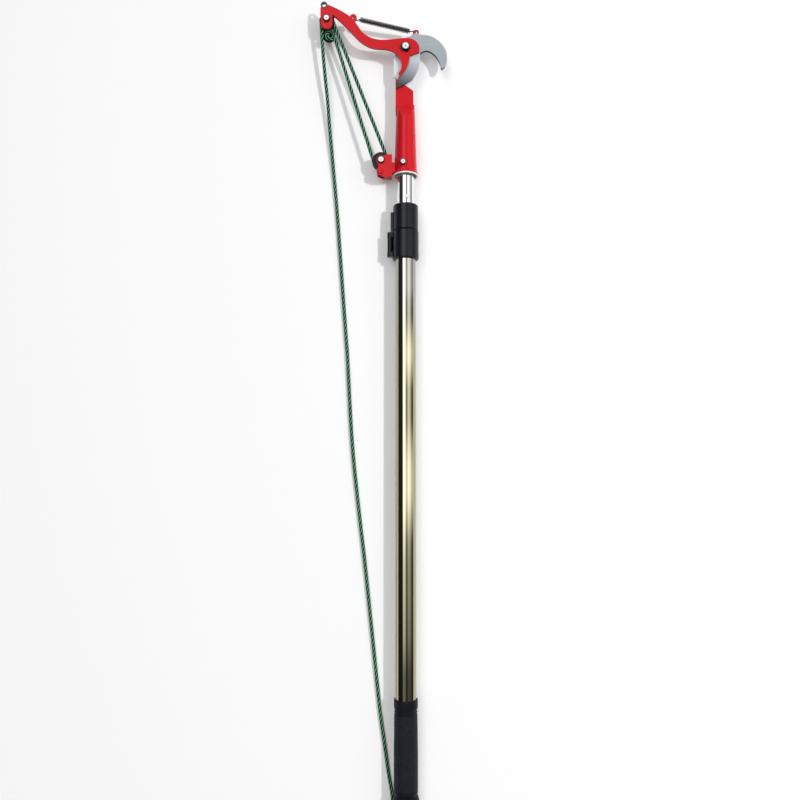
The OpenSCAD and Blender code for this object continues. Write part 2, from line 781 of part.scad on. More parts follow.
module cutting_blade() {
    outline = concat(curve(blade_edge, 6), blade_heel, curve(blade_back_edge, 5)) * blade_scale;
    color(steel)
        difference() {
            union() {
                plate(blade_back, blade_t) translate(pivot) polygon(outline);
                post(pivot, blade_back, lever_back, blade_hub_r);
            }
            post(pivot, blade_back - 1, lever_back + 1, pivot_r + run_gap);
            for (at = blade_rivet_at)
                post(pivot + at, blade_back - 1, lever_back + 1, blade_rivet_r + fit_gap);
        }
}

module blade_rivets() {
    color(steel)
        for (at = blade_rivet_at)
            post(pivot + at, blade_back, blade_rivet_top, blade_rivet_r);
}

module hang_eye() {
    at = pivot + eye_at * lever_scale;
    proud = 0.5;
    color(dark_steel)
        difference() {
            post(at, lever_back - proud, lever_front + proud, eye_r + eye_wall);
            post(at, lever_back - 2, lever_front + 2, eye_r);
        }
}

module return_spring() {
    echo(return_spring_least_gap = least_gap(spring_path, wire_d, 5));
    color(dark_steel) tube(spring_path, wire_d, spring_sides, spring_axis);
}

module pulley_cheek() {
    half_w = 9;
    top = 15.5;
    web_t = 3;
    web_w = 10;
    web_left = -0.5;
    becket = knot_at - upper_axle + [-2, 4];
    way = angle_of(becket);
    outline = concat(
        [[-half_w, top], [half_w, top], polar(half_w, way + 90)],
        arc(becket, half_w, way + 90, way - 90, 18), [polar(half_w, way - 90)]
    );
    color(black)
        difference() {
            union() {
                plate(cheek_back, cheek_t) translate(upper_axle) polygon(outline);
                translate([upper_axle.x + web_left, upper_axle.y + top - web_t, cheek_back])
                    cube([web_w, web_t, lever_back - cheek_back]);
            }
            post(upper_axle, cheek_back - 1, cheek_front + 1, axle_r + fit_gap);
        }
}

module upper_pulley() color(black) pulley(upper_axle, sheave_r);

module upper_axle_bolt() {
    color(chrome) bolt(upper_axle, lever_front, floor_z, axle_r, axle_flats, axle_head_h);
}

module upper_axle_nut() color(steel) nut(upper_axle, cheek_back, axle_r, axle_flats);

// Pulley bracket on the ferrule
module pulley_bracket() {
    low = lower_axle.y - 23.5;
    right = lower_axle.x + 15;
    top = lower_axle.y + 8.5;
    web_top = top - 2;
    corner_r = 6.6;
    waist = lower_axle + [-3.4, -8.5];
    ear_r = 5.2;
    saddle_low = mouth_y + 3;
    saddle_h = 15;
    saddle_t = 8;
    depth = bracket_front - bracket_back;
    sheet = concat(
        [[right, low], [right, top]], arc(lower_axle, corner_r, 75, 205, 10), [waist],
        arc(guard_at, ear_r, 155, 265, 8), [[guard_at.x + ear_r, low]]
    );
    color(red)
        difference() {
            union() {
                plate(bracket_front - bracket_t, bracket_t) polygon(sheet);
                plate(bracket_back, bracket_t) polygon(sheet);
                translate([guard_at.x + ear_r, low, bracket_back])
                    cube([right - guard_at.x - ear_r, bracket_t, depth]);
                translate([right - bracket_t, low, bracket_back]) cube([bracket_t, web_top - low, depth]);
                translate([right - bracket_t, saddle_low, rope_z - saddle_t / 2])
                    cube([-right, saddle_h, saddle_t]);
            }
            cone_body(fit_gap);
            post(lower_axle, bracket_back - 1, bracket_front + 1, axle_r + fit_gap);
            post(guard_at, bracket_back - 1, bracket_front + 1, guard_r / 2 + fit_gap);
        }
}

module lower_pulley() color(black) pulley(lower_axle, lower_sheave_r);

module lower_axle_bolt() {
    past = 1.5;
    color(chrome)
        bolt(lower_axle, bracket_front, bracket_back - nut_h - past, axle_r, axle_flats, axle_head_h);
}

module lower_axle_nut() color(steel) nut(lower_axle, bracket_back, axle_r, axle_flats);

module guard_rivet() {
    head_h = 2.2;
    dome = [[0, 0], [guard_r, 0], [guard_r * 0.9, head_h * 0.5], [guard_r * 0.6, head_h * 0.85], [0, head_h]];
    color(red) {
        translate([guard_at.x, guard_at.y, bracket_front]) rotate_extrude() polygon(dome);
        translate([guard_at.x, guard_at.y, bracket_back]) mirror([0, 0, 1]) rotate_extrude() polygon(dome);
        post(guard_at, bracket_back - head_h / 2, bracket_front + head_h / 2, guard_r / 2);
    }
}

// Rope
module rope_becket() {
    legs_x = 3.5;
    bend_y = -7;
    loop = concat(
        [
            knot_at + [-legs_x, 0],
            knot_at + [-legs_x, rope_d],
            upper_axle + [-becket_r, bend_y]
        ],
        arc(upper_axle, becket_r, 180, 0, 9),
        [
            upper_axle + [becket_r, bend_y],
            knot_at + [legs_x, rope_d],
            knot_at + [legs_x, 0]
        ]
    );
    color(green) tube([for (p = loop) [p.x, p.y, becket_z]], rope_d, fall_sides, [0, 0, 1]);
}

module rope_knot() {
    color(green)
        translate([knot_at.x, knot_at.y, knot_z]) rotate_extrude() translate([knot_r, 0]) circle(knot_rope_r);
}

module rope_run_1() color(green) rope_run(run_1_top, run_1_low);

module rope_lower_turn() color(green) rope_turn(lower_axle, lower_sheave_r, run_1_angle, run_2_angle + 360);

module rope_run_2() color(green) rope_run(run_2_top, run_2_low);

module rope_upper_turn() color(green) rope_turn(upper_axle, sheave_r, run_2_angle, 180);

module rope_fall_upper() {
    points = [for (p = fall_upper_points) [p.x, p.y * fall_scale, p.z]];
    bend = concat([fall_start - [0, rope_d, 0]], points, [fall_middle - fall_lead]);
    route = concat([fall_start], curve(bend, fall_rings), [fall_middle]);
    color(green) tube(route, rope_d, fall_sides, [0, 0, 1]);
}

module rope_fall_lower() {
    points = [for (p = fall_lower_points) [p.x, p.y * fall_scale, p.z]];
    bend = concat([fall_middle + fall_lead], points, [hank_start + [0, rope_d, 0]]);
    route = concat([fall_middle], curve(bend, fall_rings), [hank_start]);
    color(green) tube(route, rope_d, fall_sides, [0, 0, 1]);
}

module rope_hank() {
    route = concat([hank_start, hank_start - [0, rope_d, 0]], hank_path, [hank_end]);
    echo(rope_hank_least_gap = least_gap(route, rope_d, 6));
    color(green) tube(route, rope_d, hank_sides, [0, 0, 1]);
}

module hank_tie() {
    half_w = hank_out * (1 - 0.85 * hank_pinch) + rope_d / 2 + 2 * slide_gap;
    inside_h = hank_lift + rope_d + 2 * slide_gap;
    color(black)
        translate([hank_at.x, hank_at.y, floor_z])
            difference() {
                translate([-half_w - tie_t, -tie_w / 2, 0])
                    cube([2 * half_w + 2 * tie_t, tie_w, inside_h + 2 * tie_t]);
                translate([-half_w, -tie_w / 2 - 1, tie_t]) cube([2 * half_w, tie_w + 2, inside_h]);
            }
}

end_cap();
grip();
outer_tube();
collar_lower();
collar_upper();
lock_lever();
lock_pin();
inner_tube();
guide_bush();
stop_rivet();
ferrule();
ferrule_bolt();
hook_blade();
spring_anchor();
pivot_bolt();
pivot_washer();
pivot_nut();
lever_arm();
cutting_blade();
blade_rivets();
hang_eye();
return_spring();
pulley_cheek();
upper_pulley();
upper_axle_bolt();
upper_axle_nut();
pulley_bracket();
lower_pulley();
lower_axle_bolt();
lower_axle_nut();
guard_rivet();
rope_becket();
rope_knot();
rope_run_1();
rope_lower_turn();
rope_run_2();
rope_upper_turn();
rope_fall_upper();
rope_fall_lower();
rope_hank();
hank_tie();
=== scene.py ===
"""Telescopic tree pruner pole with a rope-pulled cutting head, dressed for a studio picture.

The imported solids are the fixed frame. The classes below build the finishes, the rope and the
studio round them, in the frame's own axes: the pole lies along +Y and +Z is up. Sizes are in
metres, apart from roundings and the sizes of the pole and the head, which are in millimetres.
"""

import json
import logging
import math
from collections.abc import Mapping, Sequence
from dataclasses import dataclass, field
from enum import Enum
from functools import cache

import bmesh
import bpy
from mathutils import Matrix, Vector


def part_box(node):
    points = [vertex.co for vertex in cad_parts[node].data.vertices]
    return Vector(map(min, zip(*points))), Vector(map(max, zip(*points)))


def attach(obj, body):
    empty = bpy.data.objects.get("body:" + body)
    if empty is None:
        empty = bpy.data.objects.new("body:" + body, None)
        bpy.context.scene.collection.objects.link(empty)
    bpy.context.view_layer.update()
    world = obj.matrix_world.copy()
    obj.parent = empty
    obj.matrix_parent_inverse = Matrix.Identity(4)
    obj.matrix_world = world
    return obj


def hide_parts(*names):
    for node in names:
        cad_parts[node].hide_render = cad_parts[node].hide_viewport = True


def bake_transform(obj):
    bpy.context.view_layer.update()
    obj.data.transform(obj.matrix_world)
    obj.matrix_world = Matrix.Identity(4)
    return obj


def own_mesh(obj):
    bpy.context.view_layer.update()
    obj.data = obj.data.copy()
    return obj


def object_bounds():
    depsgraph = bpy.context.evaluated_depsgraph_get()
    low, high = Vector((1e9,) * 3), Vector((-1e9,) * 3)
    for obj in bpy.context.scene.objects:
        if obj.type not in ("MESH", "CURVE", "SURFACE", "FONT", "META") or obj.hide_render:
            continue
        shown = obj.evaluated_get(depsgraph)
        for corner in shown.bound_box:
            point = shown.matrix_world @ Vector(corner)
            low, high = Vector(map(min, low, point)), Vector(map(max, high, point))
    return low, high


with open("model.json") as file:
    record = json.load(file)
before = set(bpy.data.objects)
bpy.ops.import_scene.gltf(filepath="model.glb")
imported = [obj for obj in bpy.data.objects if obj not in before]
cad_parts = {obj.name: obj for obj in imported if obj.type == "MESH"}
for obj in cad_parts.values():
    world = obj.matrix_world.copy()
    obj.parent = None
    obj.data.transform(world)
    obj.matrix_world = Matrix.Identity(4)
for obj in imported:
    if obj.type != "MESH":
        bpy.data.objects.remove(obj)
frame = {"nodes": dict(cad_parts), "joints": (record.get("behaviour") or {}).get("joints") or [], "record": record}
CAD_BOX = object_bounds()
LOG = logging.getLogger("pruner_pole")
MM = 0.001
FLOOR_Z = CAD_BOX[0].z
ALONG = Vector((0.0, 1.0, 0.0)).freeze()
MERGE_DISTANCE = 1e-6
CUT_DISTANCE = 1e-7
LEAST_SPAN = 1e-12
FLAT_ANGLE = 0.4
Colour = tuple[float, float, float]
Point = tuple[float, float, float]
Pairs = Sequence[tuple[float, float]]
Roundings = Sequence[tuple[str, float]]
Tree = bpy.types.NodeTree
Socket = bpy.types.NodeSocket
Shape = bmesh.types.BMesh
Feeds = Mapping[int | str, Socket]
Values = Mapping[int | str, object]


class Grain(Enum):
    """How a surface's fine marks run: the value stretches the noise along X, Y and Z."""

    SPRAYED = (1.0, 1.0, 1.0)
    DRAWN_ALONG_POLE = (1.0, 0.02, 1.0)
    GROUND_ACROSS = (0.12, 1.0, 1.0)
    MOULDED = (1.0, 0.8, 1.0)


def add_node(
    tree: Tree, kind: str, feeds: Feeds, values: Values | None = None, operation: str = ""
) -> bpy.types.Node:
    """Add a node, set some of its inputs and link others.

    Args:
        tree: The nodes that it joins.
        kind: The node's type.
        feeds: The outputs that feed its inputs.
        values: The fixed values of its other inputs.
        operation: What it works out, where its type leaves that open.

    Returns:
        The node.
    """
    node = tree.nodes.new(kind)
    if operation:
        node.operation = operation
    for place, value in (values or {}).items():
        node.inputs[place].default_value = value
    for place, source in feeds.items():
        tree.links.new(source, node.inputs[place])
    return node


def add_maths(tree: Tree, operation: str, feeds: Feeds, values: Values | None = None) -> Socket:
    """Add a maths node and give its result."""
    return add_node(tree, "ShaderNodeMath", feeds, values, operation).outputs["Value"]


def add_noise(tree: Tree, place: Socket, per_m: float, detail: float) -> Socket:
    """Add a noise with so many marks to the metre and so many finer layers."""
    values = {"Scale": per_m, "Detail": detail}
    return add_node(tree, "ShaderNodeTexNoise", {"Vector": place}, values).outputs["Fac"]


def add_ramp(tree: Tree, source: Socket, stops: Sequence[tuple[float, Colour]]) -> Socket:
    """Add a colour ramp.

    Args:
        tree: The nodes that it joins.
        source: The value from 0 to 1 that runs along it.
        stops: Places from 0 to 1 and the colour at each.

    Returns:
        The colour.
    """
    ramp = add_node(tree, "ShaderNodeValToRGB", {"Fac": source})
    steps = ramp.color_ramp.elements
    ready = len(steps)
    for i, (at, colour) in enumerate(stops):
        step = steps[i] if i < ready else steps.new(at)
        step.position = at
        step.color = (*colour, 1.0)
    return ramp.outputs["Color"]


@dataclass(frozen=True)
class Fade:
    """A slow change of a finish's colour across a piece, from one place to another: here it paints reflection and
    shade that change along a piece.
    """

    start: Point
    end: Point
    colour: Colour


@dataclass(frozen=True)
class Finish:
    """One surface finish, made of a shader with fine marks in its colour, gloss and relief."""

    name: str
    colour: Colour
    second_colour: Colour
    roughness: float
    gloss_spread: float = 0.05
    metallic: float = 0.0
    grain: Grain = Grain.SPRAYED
    marks_per_m: float = 220.0
    relief: float = 0.02
    relief_per_m: float = 1400.0
    sheen: float = 0.0
    shine: float = 0.5
    fade: Fade | None = None
    mark_detail: float = 5.0
    relief_detail: float = 2.0
    relief_deep: float = 0.3 * MM
    shade_stops: tuple[float, float] = (0.32, 0.68)
    least_roughness: float = 0.02

    @cache
    def material(self) -> bpy.types.Material:
        """Build the finish once and hand it out after that.

        Returns:
            The finish's node material.
        """
        made = bpy.data.materials.new(f"{self.name}_finish")
        made.use_nodes = True
        tree = made.node_tree
        shader = tree.nodes["Principled BSDF"]
        shader.inputs["Metallic"].default_value = self.metallic
        shader.inputs["Sheen Weight"].default_value = self.sheen
        shader.inputs["Specular IOR Level"].default_value = self.shine
        place = tree.nodes.new("ShaderNodeTexCoord").outputs["Object"]
        stretch = add_node(tree, "ShaderNodeMapping", {"Vector": place}, {"Scale": self.grain.value})
        stretched = stretch.outputs["Vector"]
        marks = add_noise(tree, stretched, self.marks_per_m, self.mark_detail)
        shade = add_ramp(tree, marks, list(zip(self.shade_stops, (self.second_colour, self.colour))))
        if self.fade:
            shade = self._faded(tree, place, shade)
        tree.links.new(shade, shader.inputs["Base Color"])
        smooth = max(self.least_roughness, self.roughness - self.gloss_spread)
        ends = {"To Min": smooth, "To Max": self.roughness + self.gloss_spread}
        gloss = add_node(tree, "ShaderNodeMapRange", {"Value": marks}, ends)
        tree.links.new(gloss.outputs["Result"], shader.inputs["Roughness"])
        fine = {"Height": add_noise(tree, stretched, self.relief_per_m, self.relief_detail)}
        values = {"Strength": self.relief, "Distance": self.relief_deep}
        bump = add_node(tree, "ShaderNodeBump", fine, values)
        tree.links.new(bump.outputs["Normal"], shader.inputs["Normal"])
        return made

    def _faded(self, tree: Tree, place: Socket, shade: Socket) -> Socket:
        """Paint a slow change of colour across the piece, which stands for reflection and shade that change along
        it.

        Args:
            tree: The material's nodes.
            place: The piece's own coordinates.
            shade: The colour at the fade's start.

        Returns:
            The changed colour.
        """
        start = Vector(self.fade.start)
        way = Vector(self.fade.end) - start
        way /= way.length_squared
        along = add_node(tree, "ShaderNodeVectorMath", {0: place}, {1: way}, "DOT_PRODUCT")
        ends = {"From Min": start.dot(way), "From Max": start.dot(way) + 1.0}
        share = add_node(tree, "ShaderNodeMapRange", {"Value": along.outputs["Value"]}, ends)
        feeds = {"Fac": share.outputs["Result"], "Color1": shade}
        mix = add_node(tree, "ShaderNodeMixRGB", feeds, {"Color2": (*self.fade.colour, 1.0)})
        return mix.outputs["Color"]


RED_PAINT = Finish("red_paint", (0.60, 0.008, 0.015), (0.58, 0.007, 0.014), 0.22, 0.02, shine=0.26)
BLADE_STEEL = Finish(
    "blade_steel", (0.42, 0.47, 0.50), (0.36, 0.41, 0.44), 0.42,
    metallic=0.45, grain=Grain.GROUND_ACROSS, relief=0.05,
)
# The cutting blade: lighter than the hook's steel and fading to near black towards its lower tip, a painted
# reflection at its top and painted shade at its tip.
CUTTING_STEEL = Finish(
    "cutting_steel", (0.56, 0.62, 0.66), (0.50, 0.56, 0.60), 0.42,
    metallic=0.3, grain=Grain.GROUND_ACROSS, relief=0.05,
    fade=Fade((0.012, 1.006, 0.0), (-0.002, 0.968, 0.0), (0.046, 0.049, 0.054)),
)
# Near black on the side faces of the hook's cutting edge that face down the pole: painted shade.
PAINTED_EDGE_SHADE = Finish("painted_edge_shade", (0.030, 0.032, 0.036), (0.020, 0.022, 0.025), 0.4, metallic=0.3)
TANG_STEEL = Finish(
    "tang_steel", (0.74, 0.78, 0.83), (0.66, 0.70, 0.75), 0.4, metallic=0.3, grain=Grain.GROUND_ACROSS
)
BARE_RIM = Finish("bare_rim", (0.92, 0.91, 0.90), (0.86, 0.85, 0.84), 0.35, metallic=0.2)
MOUTH_INSIDE = Finish("mouth_inside", (0.60, 0.61, 0.64), (0.50, 0.51, 0.54), 0.5, metallic=0.2)
# The tube's colour is a gold tint low down and fades to nearly neutral above: painted highlight, standing for
# reflections washed out to white towards the head.
GOLD_TUBE = Finish(
    "gold_tube", (0.42, 0.417, 0.378), (0.39, 0.387, 0.352), 0.05, 0.015, 1.0,
    Grain.DRAWN_ALONG_POLE, 900.0, 0.002, 2500.0,
    fade=Fade((0.0, 0.680, 0.0), (0.0, 0.620, 0.0), (0.42, 0.394, 0.266)),
)
SILVER_TUBE = Finish(
    "silver_tube", (0.90, 0.905, 0.91), (0.86, 0.865, 0.87), 0.05, 0.015, 1.0,
    Grain.DRAWN_ALONG_POLE, 900.0, 0.002, 2500.0,
)
# Near-white with only a little metal: the bright parts' own metal, with the chrome's reflection painted into its
# colour.
BRIGHT_METAL = Finish("bright_metal", (0.90, 0.90, 0.88), (0.82, 0.82, 0.81), 0.28, metallic=0.3)
# Dark steel is the dark steel slot's finish, and on the bolts it paints the shade on their flanks, crown rings and
# dimples.
DARK_STEEL_AND_SHADE = Finish("dark_steel", (0.060, 0.062, 0.066), (0.040, 0.042, 0.045), 0.34, metallic=0.9)
EYE_STEEL = Finish("eye_steel", (0.150, 0.152, 0.158), (0.100, 0.102, 0.106), 0.36, metallic=1.0)
SPRING_WIRE = Finish("spring_wire", (0.18, 0.183, 0.186), (0.13, 0.133, 0.136), 0.32, metallic=1.0)
BLACK_PLASTIC = Finish(
    "black_plastic", (0.007, 0.009, 0.014), (0.005, 0.006, 0.010), 0.30,
    grain=Grain.MOULDED, relief=0.04, shine=0.26,
)
GRIP_RUBBER = Finish(
    "grip_rubber", (0.006, 0.008, 0.012), (0.004, 0.005, 0.008), 0.5, relief=0.10, shine=0.15
)
GRIP_GROOVE = Finish(
    "grip_groove", (0.026, 0.030, 0.038), (0.020, 0.023, 0.030), 0.6, relief=0.10, shine=0.15
)
STRAP_WEAVE = Finish(
    "strap", (0.03, 0.03, 0.032), (0.012, 0.012, 0.013), 0.8, marks_per_m=1500.0, relief=0.35, sheen=0.2
)
# The near-black strands lie deep between the green ones and paint the shade in the rope's grooves.
ROPE_GROOVE_SHADE = Finish(
    "rope_groove_shade", (0.001, 0.016, 0.008), (0.0005, 0.009, 0.005), 0.8,
    marks_per_m=1600.0, relief=0.5, shine=0.15,
)
ROPE_GREEN = Finish(
    "rope_green", (0.220, 0.490, 0.335), (0.160, 0.400, 0.265), 0.8,
    marks_per_m=1600.0, relief=0.5, shine=0.15,
)
SLOT_FINISHES: dict[str, Finish] = {
    finish.name: finish
    for finish in (
        RED_PAINT, BLADE_STEEL, BRIGHT_METAL, GOLD_TUBE, SILVER_TUBE, BLACK_PLASTIC, GRIP_RUBBER, DARK_STEEL_AND_SHADE,
        ROPE_GREEN, STRAP_WEAVE,
    )
}
NODE_SLOTS: dict[str, str] = {part["node"]: part["material_slot"] for part in frame["record"]["subparts"]}
NODE_BODIES: dict[str, str] = {
    node: body for body, nodes in frame["record"]["behaviour"]["bodies"].items() for node in nodes
}


@dataclass(frozen=True)
class Strand:
    """One strand of a rope: its finish, and its thickness, reach and start as shares of the rope."""

    finish: Finish
    thickness: float
    reach: float
    start: float


STRAND_PAIRS = 3
# Each pair is a near-black strand set deep, painted groove shade, and a thin green strand at the rope's surface.
ROPE_STRANDS = tuple(
    strand
    for pair in range(STRAND_PAIRS)
    for strand in (
        Strand(ROPE_GROOVE_SHADE, 0.50, 0.50, pair / STRAND_PAIRS),
        Strand(ROPE_GREEN, 0.26, 0.74, (pair + 0.5) / STRAND_PAIRS),
    )
)
ROPE_FINISHES = tuple(strand.finish for strand in ROPE_STRANDS)
GRIP_FINISHES = (GRIP_RUBBER, GRIP_GROOVE)


def centre_of(node: str) -> Vector:
    """Give the middle of a node's box, in metres."""
    low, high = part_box(node)
    return (low + high) / 2


def on_circle(middle: Vector, radius: float, angle: float) -> Vector:
    """Give the point at an angle in radians on a level circle."""
    return middle + radius * Vector((math.cos(angle), math.sin(angle), 0.0))


def ease(x: float) -> float:
    """Rise smoothly from 0 to 1 over the first unit of x."""
    t = max(0.0, min(1.0, x))
    return t * t * (3 - 2 * t)


def dress(mesh: bpy.types.Mesh, finishes: Sequence[Finish]) -> None:
    """Give a mesh its finishes and keep its faces' material numbers.

    Args:
        mesh: The mesh.
        finishes: Its finishes, in the order of the numbers.
    """
    for number, finish in enumerate(finishes):
        if number < len(mesh.materials):
            mesh.materials[number] = finish.material()
        else:
            mesh.materials.append(finish.material())


def linked(name: str, mesh: bpy.types.Mesh, finishes: Sequence[Finish]) -> bpy.types.Object:
    """Make a mesh a smooth piece of the scene.

    Args:
        name: The piece's name.
        mesh: Its mesh, with its place in it.
        finishes: Its finishes, in the order of its faces' material numbers.

    Returns:
        The piece, which rides on nothing yet.
    """
    mesh.name = name
    dress(mesh, finishes)
    mesh.shade_smooth()
    piece = bpy.data.objects.new(name, mesh)
    bpy.context.scene.collection.objects.link(piece)
    LOG.info("%s: %d faces", name, len(mesh.polygons))
    return piece


def put(
    name: str, mesh: bpy.types.Mesh, finishes: Sequence[Finish], body: str, node: str, sharp: float = 32.0
) -> bpy.types.Object:
    """Make a mesh a piece of the object that rides on a body and stands for a node.

    Args:
        name: The piece's name.
        mesh: Its mesh, with its place in it.
        finishes: Its finishes, in the order of its faces' material numbers.
        body: The body it rides on.
        node: The node it replaces.
        sharp: The angle in degrees above which an edge stays sharp.

    Returns:
        The piece.
    """
    piece = linked(name, mesh, finishes)
    mesh.set_sharp_from_angle(angle=math.radians(sharp))
    even = piece.modifiers.new("even_normals", "WEIGHTED_NORMAL")
    even.keep_sharp = True
    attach(piece, body)
    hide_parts(node)
    return piece


def put_rounded(node: str, round_mm: float, finish: Finish | None = None) -> None:
    """Put a copy of a node with rounded edges in its place, in its slot's finish or in another one."""
    worn = finish or SLOT_FINISHES[NODE_SLOTS[node]]
    put(f"{node}_rounded", mesh_of(solid_copy(node, round_mm)), [worn], NODE_BODIES[node], node)


def mesh_of(shape: Shape) -> bpy.types.Mesh:
    """Turn a bmesh into a mesh, with its faces pointing outwards.

    Args:
        shape: The bmesh, which is freed.

    Returns:
        The mesh.
    """
    bmesh.ops.remove_doubles(shape, verts=shape.verts, dist=MERGE_DISTANCE)
    bmesh.ops.recalc_face_normals(shape, faces=shape.faces)
    mesh = bpy.data.meshes.new("piece")
    shape.to_mesh(mesh)
    shape.free()
    return mesh


def turned(profile: Pairs, steps: int = 96) -> Shape:
    """Spin a closed outline of radius and height about the pole's axis.

    Args:
        profile: The outline's corners as radius and distance along Y, in millimetres.
        steps: The number of steps round.

    Returns:
        The spun shape.
    """
    shape = bmesh.new()
    corners = [shape.verts.new((radius * MM, along * MM, 0.0)) for radius, along in profile]
    edges = [shape.edges.new((a, b)) for a, b in zip(corners, corners[1:] + corners[:1])]
    bmesh.ops.spin(
        shape, geom=corners + edges, cent=(0, 0, 0), axis=ALONG, angle=math.tau, steps=steps, use_merge=True
    )
    return shape


def solid_copy(node: str, round_mm: float, corner: float = 40.0) -> Shape:
    """Copy a node's solid, joined into whole faces, with its sharp edges rounded.

    Args:
        node: The node's name.
        round_mm: How far the rounding reaches, in millimetres.
        corner: The angle in degrees above which an edge is rounded.

    Returns:
        The rounded copy.
    """
    shape = bmesh.new()
    shape.from_mesh(frame["nodes"][node].data)
    bmesh.ops.remove_doubles(shape, verts=shape.verts, dist=MERGE_DISTANCE)
    bmesh.ops.dissolve_limit(
        shape, angle_limit=math.radians(FLAT_ANGLE), verts=shape.verts, edges=shape.edges, delimit={"NORMAL"}
    )
    sharp = [
        edge for edge in shape.edges
        if len(edge.link_faces) == 2 and edge.calc_face_angle(0.0) > math.radians(corner)
    ]
    bmesh.ops.bevel(
        shape, geom=sharp, offset=round_mm * MM, offset_type="OFFSET", segments=2, profile=0.5,
        affect="EDGES", clamp_overlap=True, material=-1
    )
    return shape


def slice_across(shape: Shape, at: Vector) -> None:
    """Cut a shape's faces along the plane through a point and square to the pole, and leave it whole."""
    everything = [*shape.verts, *shape.edges, *shape.faces]
    bmesh.ops.bisect_plane(shape, geom=everything, dist=CUT_DISTANCE, plane_co=at, plane_no=ALONG)


def sampled(points: Sequence[Vector], per_span: int) -> list[Vector]:
    """Run a smooth curve through points.

    Args:
        points: The points it passes through.
        per_span: The number of steps between two of them.

    Returns:
        The curve's points.
    """
    last = len(points) - 1
    curve = []
    for i in range(last):
        a, b, c, d = points[max(i - 1, 0)], points[i], points[i + 1], points[min(i + 2, last)]
        for k in range(per_span):
            t = k / per_span
            bend = (2 * a - 5 * b + 4 * c - d) * t**2 + (3 * b - a - 3 * c + d) * t**3
            curve.append(0.5 * (2 * b + (c - a) * t + bend))
    return curve + [points[last].copy()]


def evenly(points: Sequence[Vector], step: float) -> list[Vector]:
    """Space points evenly along a route.

    Args:
        points: The route's points.
        step: The wanted spacing, in metres.

    Returns:
        The evenly spaced points, with the route's two ends among them.
    """
    run = [0.0]
    for a, b in zip(points, points[1:]):
        run.append(run[-1] + (b - a).length)
    count = max(2, round(run[-1] / step))
    even, at = [], 0
    for i in range(count + 1):
        want = run[-1] * i / count
        while at < len(run) - 2 and run[at + 1] < want:
            at += 1
        span = max(run[at + 1] - run[at], LEAST_SPAN)
        even.append(points[at].lerp(points[at + 1], (want - run[at]) / span))
    return even


def round_tubes(routes: Sequence[Sequence[Vector]], radii: Sequence[float], sides: int) -> bpy.types.Mesh:
    """Sweep round tubes along routes, one material number for each route.

    Args:
        routes: The routes, each a list of points.
        radii: The tubes' radii in metres.
        sides: The tubes' sides, an even number from 4.

    Returns:
        The tubes' mesh, with closed ends.
    """
    curve = bpy.data.curves.new("tubes", "CURVE")
    curve.dimensions = "3D"
    curve.bevel_depth = 1.0
    curve.bevel_resolution = sides // 2 - 2
    curve.use_fill_caps = True
    for number, (route, radius) in enumerate(zip(routes, radii)):
        spline = curve.splines.new("POLY")
        spline.points.add(len(route) - 1)
        spline.points.foreach_set("co", [x for point in route for x in (*point, 1.0)])
        spline.points.foreach_set("radius", [radius] * len(route))
        curve.materials.append(ROPE_GROOVE_SHADE.material())
        spline.material_index = number
    holder = bpy.data.objects.new("tubes", curve)
    bpy.context.scene.collection.objects.link(holder)
    bpy.context.view_layer.update()
    mesh = bpy.data.meshes.new_from_object(holder.evaluated_get(bpy.context.evaluated_depsgraph_get()))
    bpy.data.objects.remove(holder)
    bpy.data.curves.remove(curve)
    return mesh


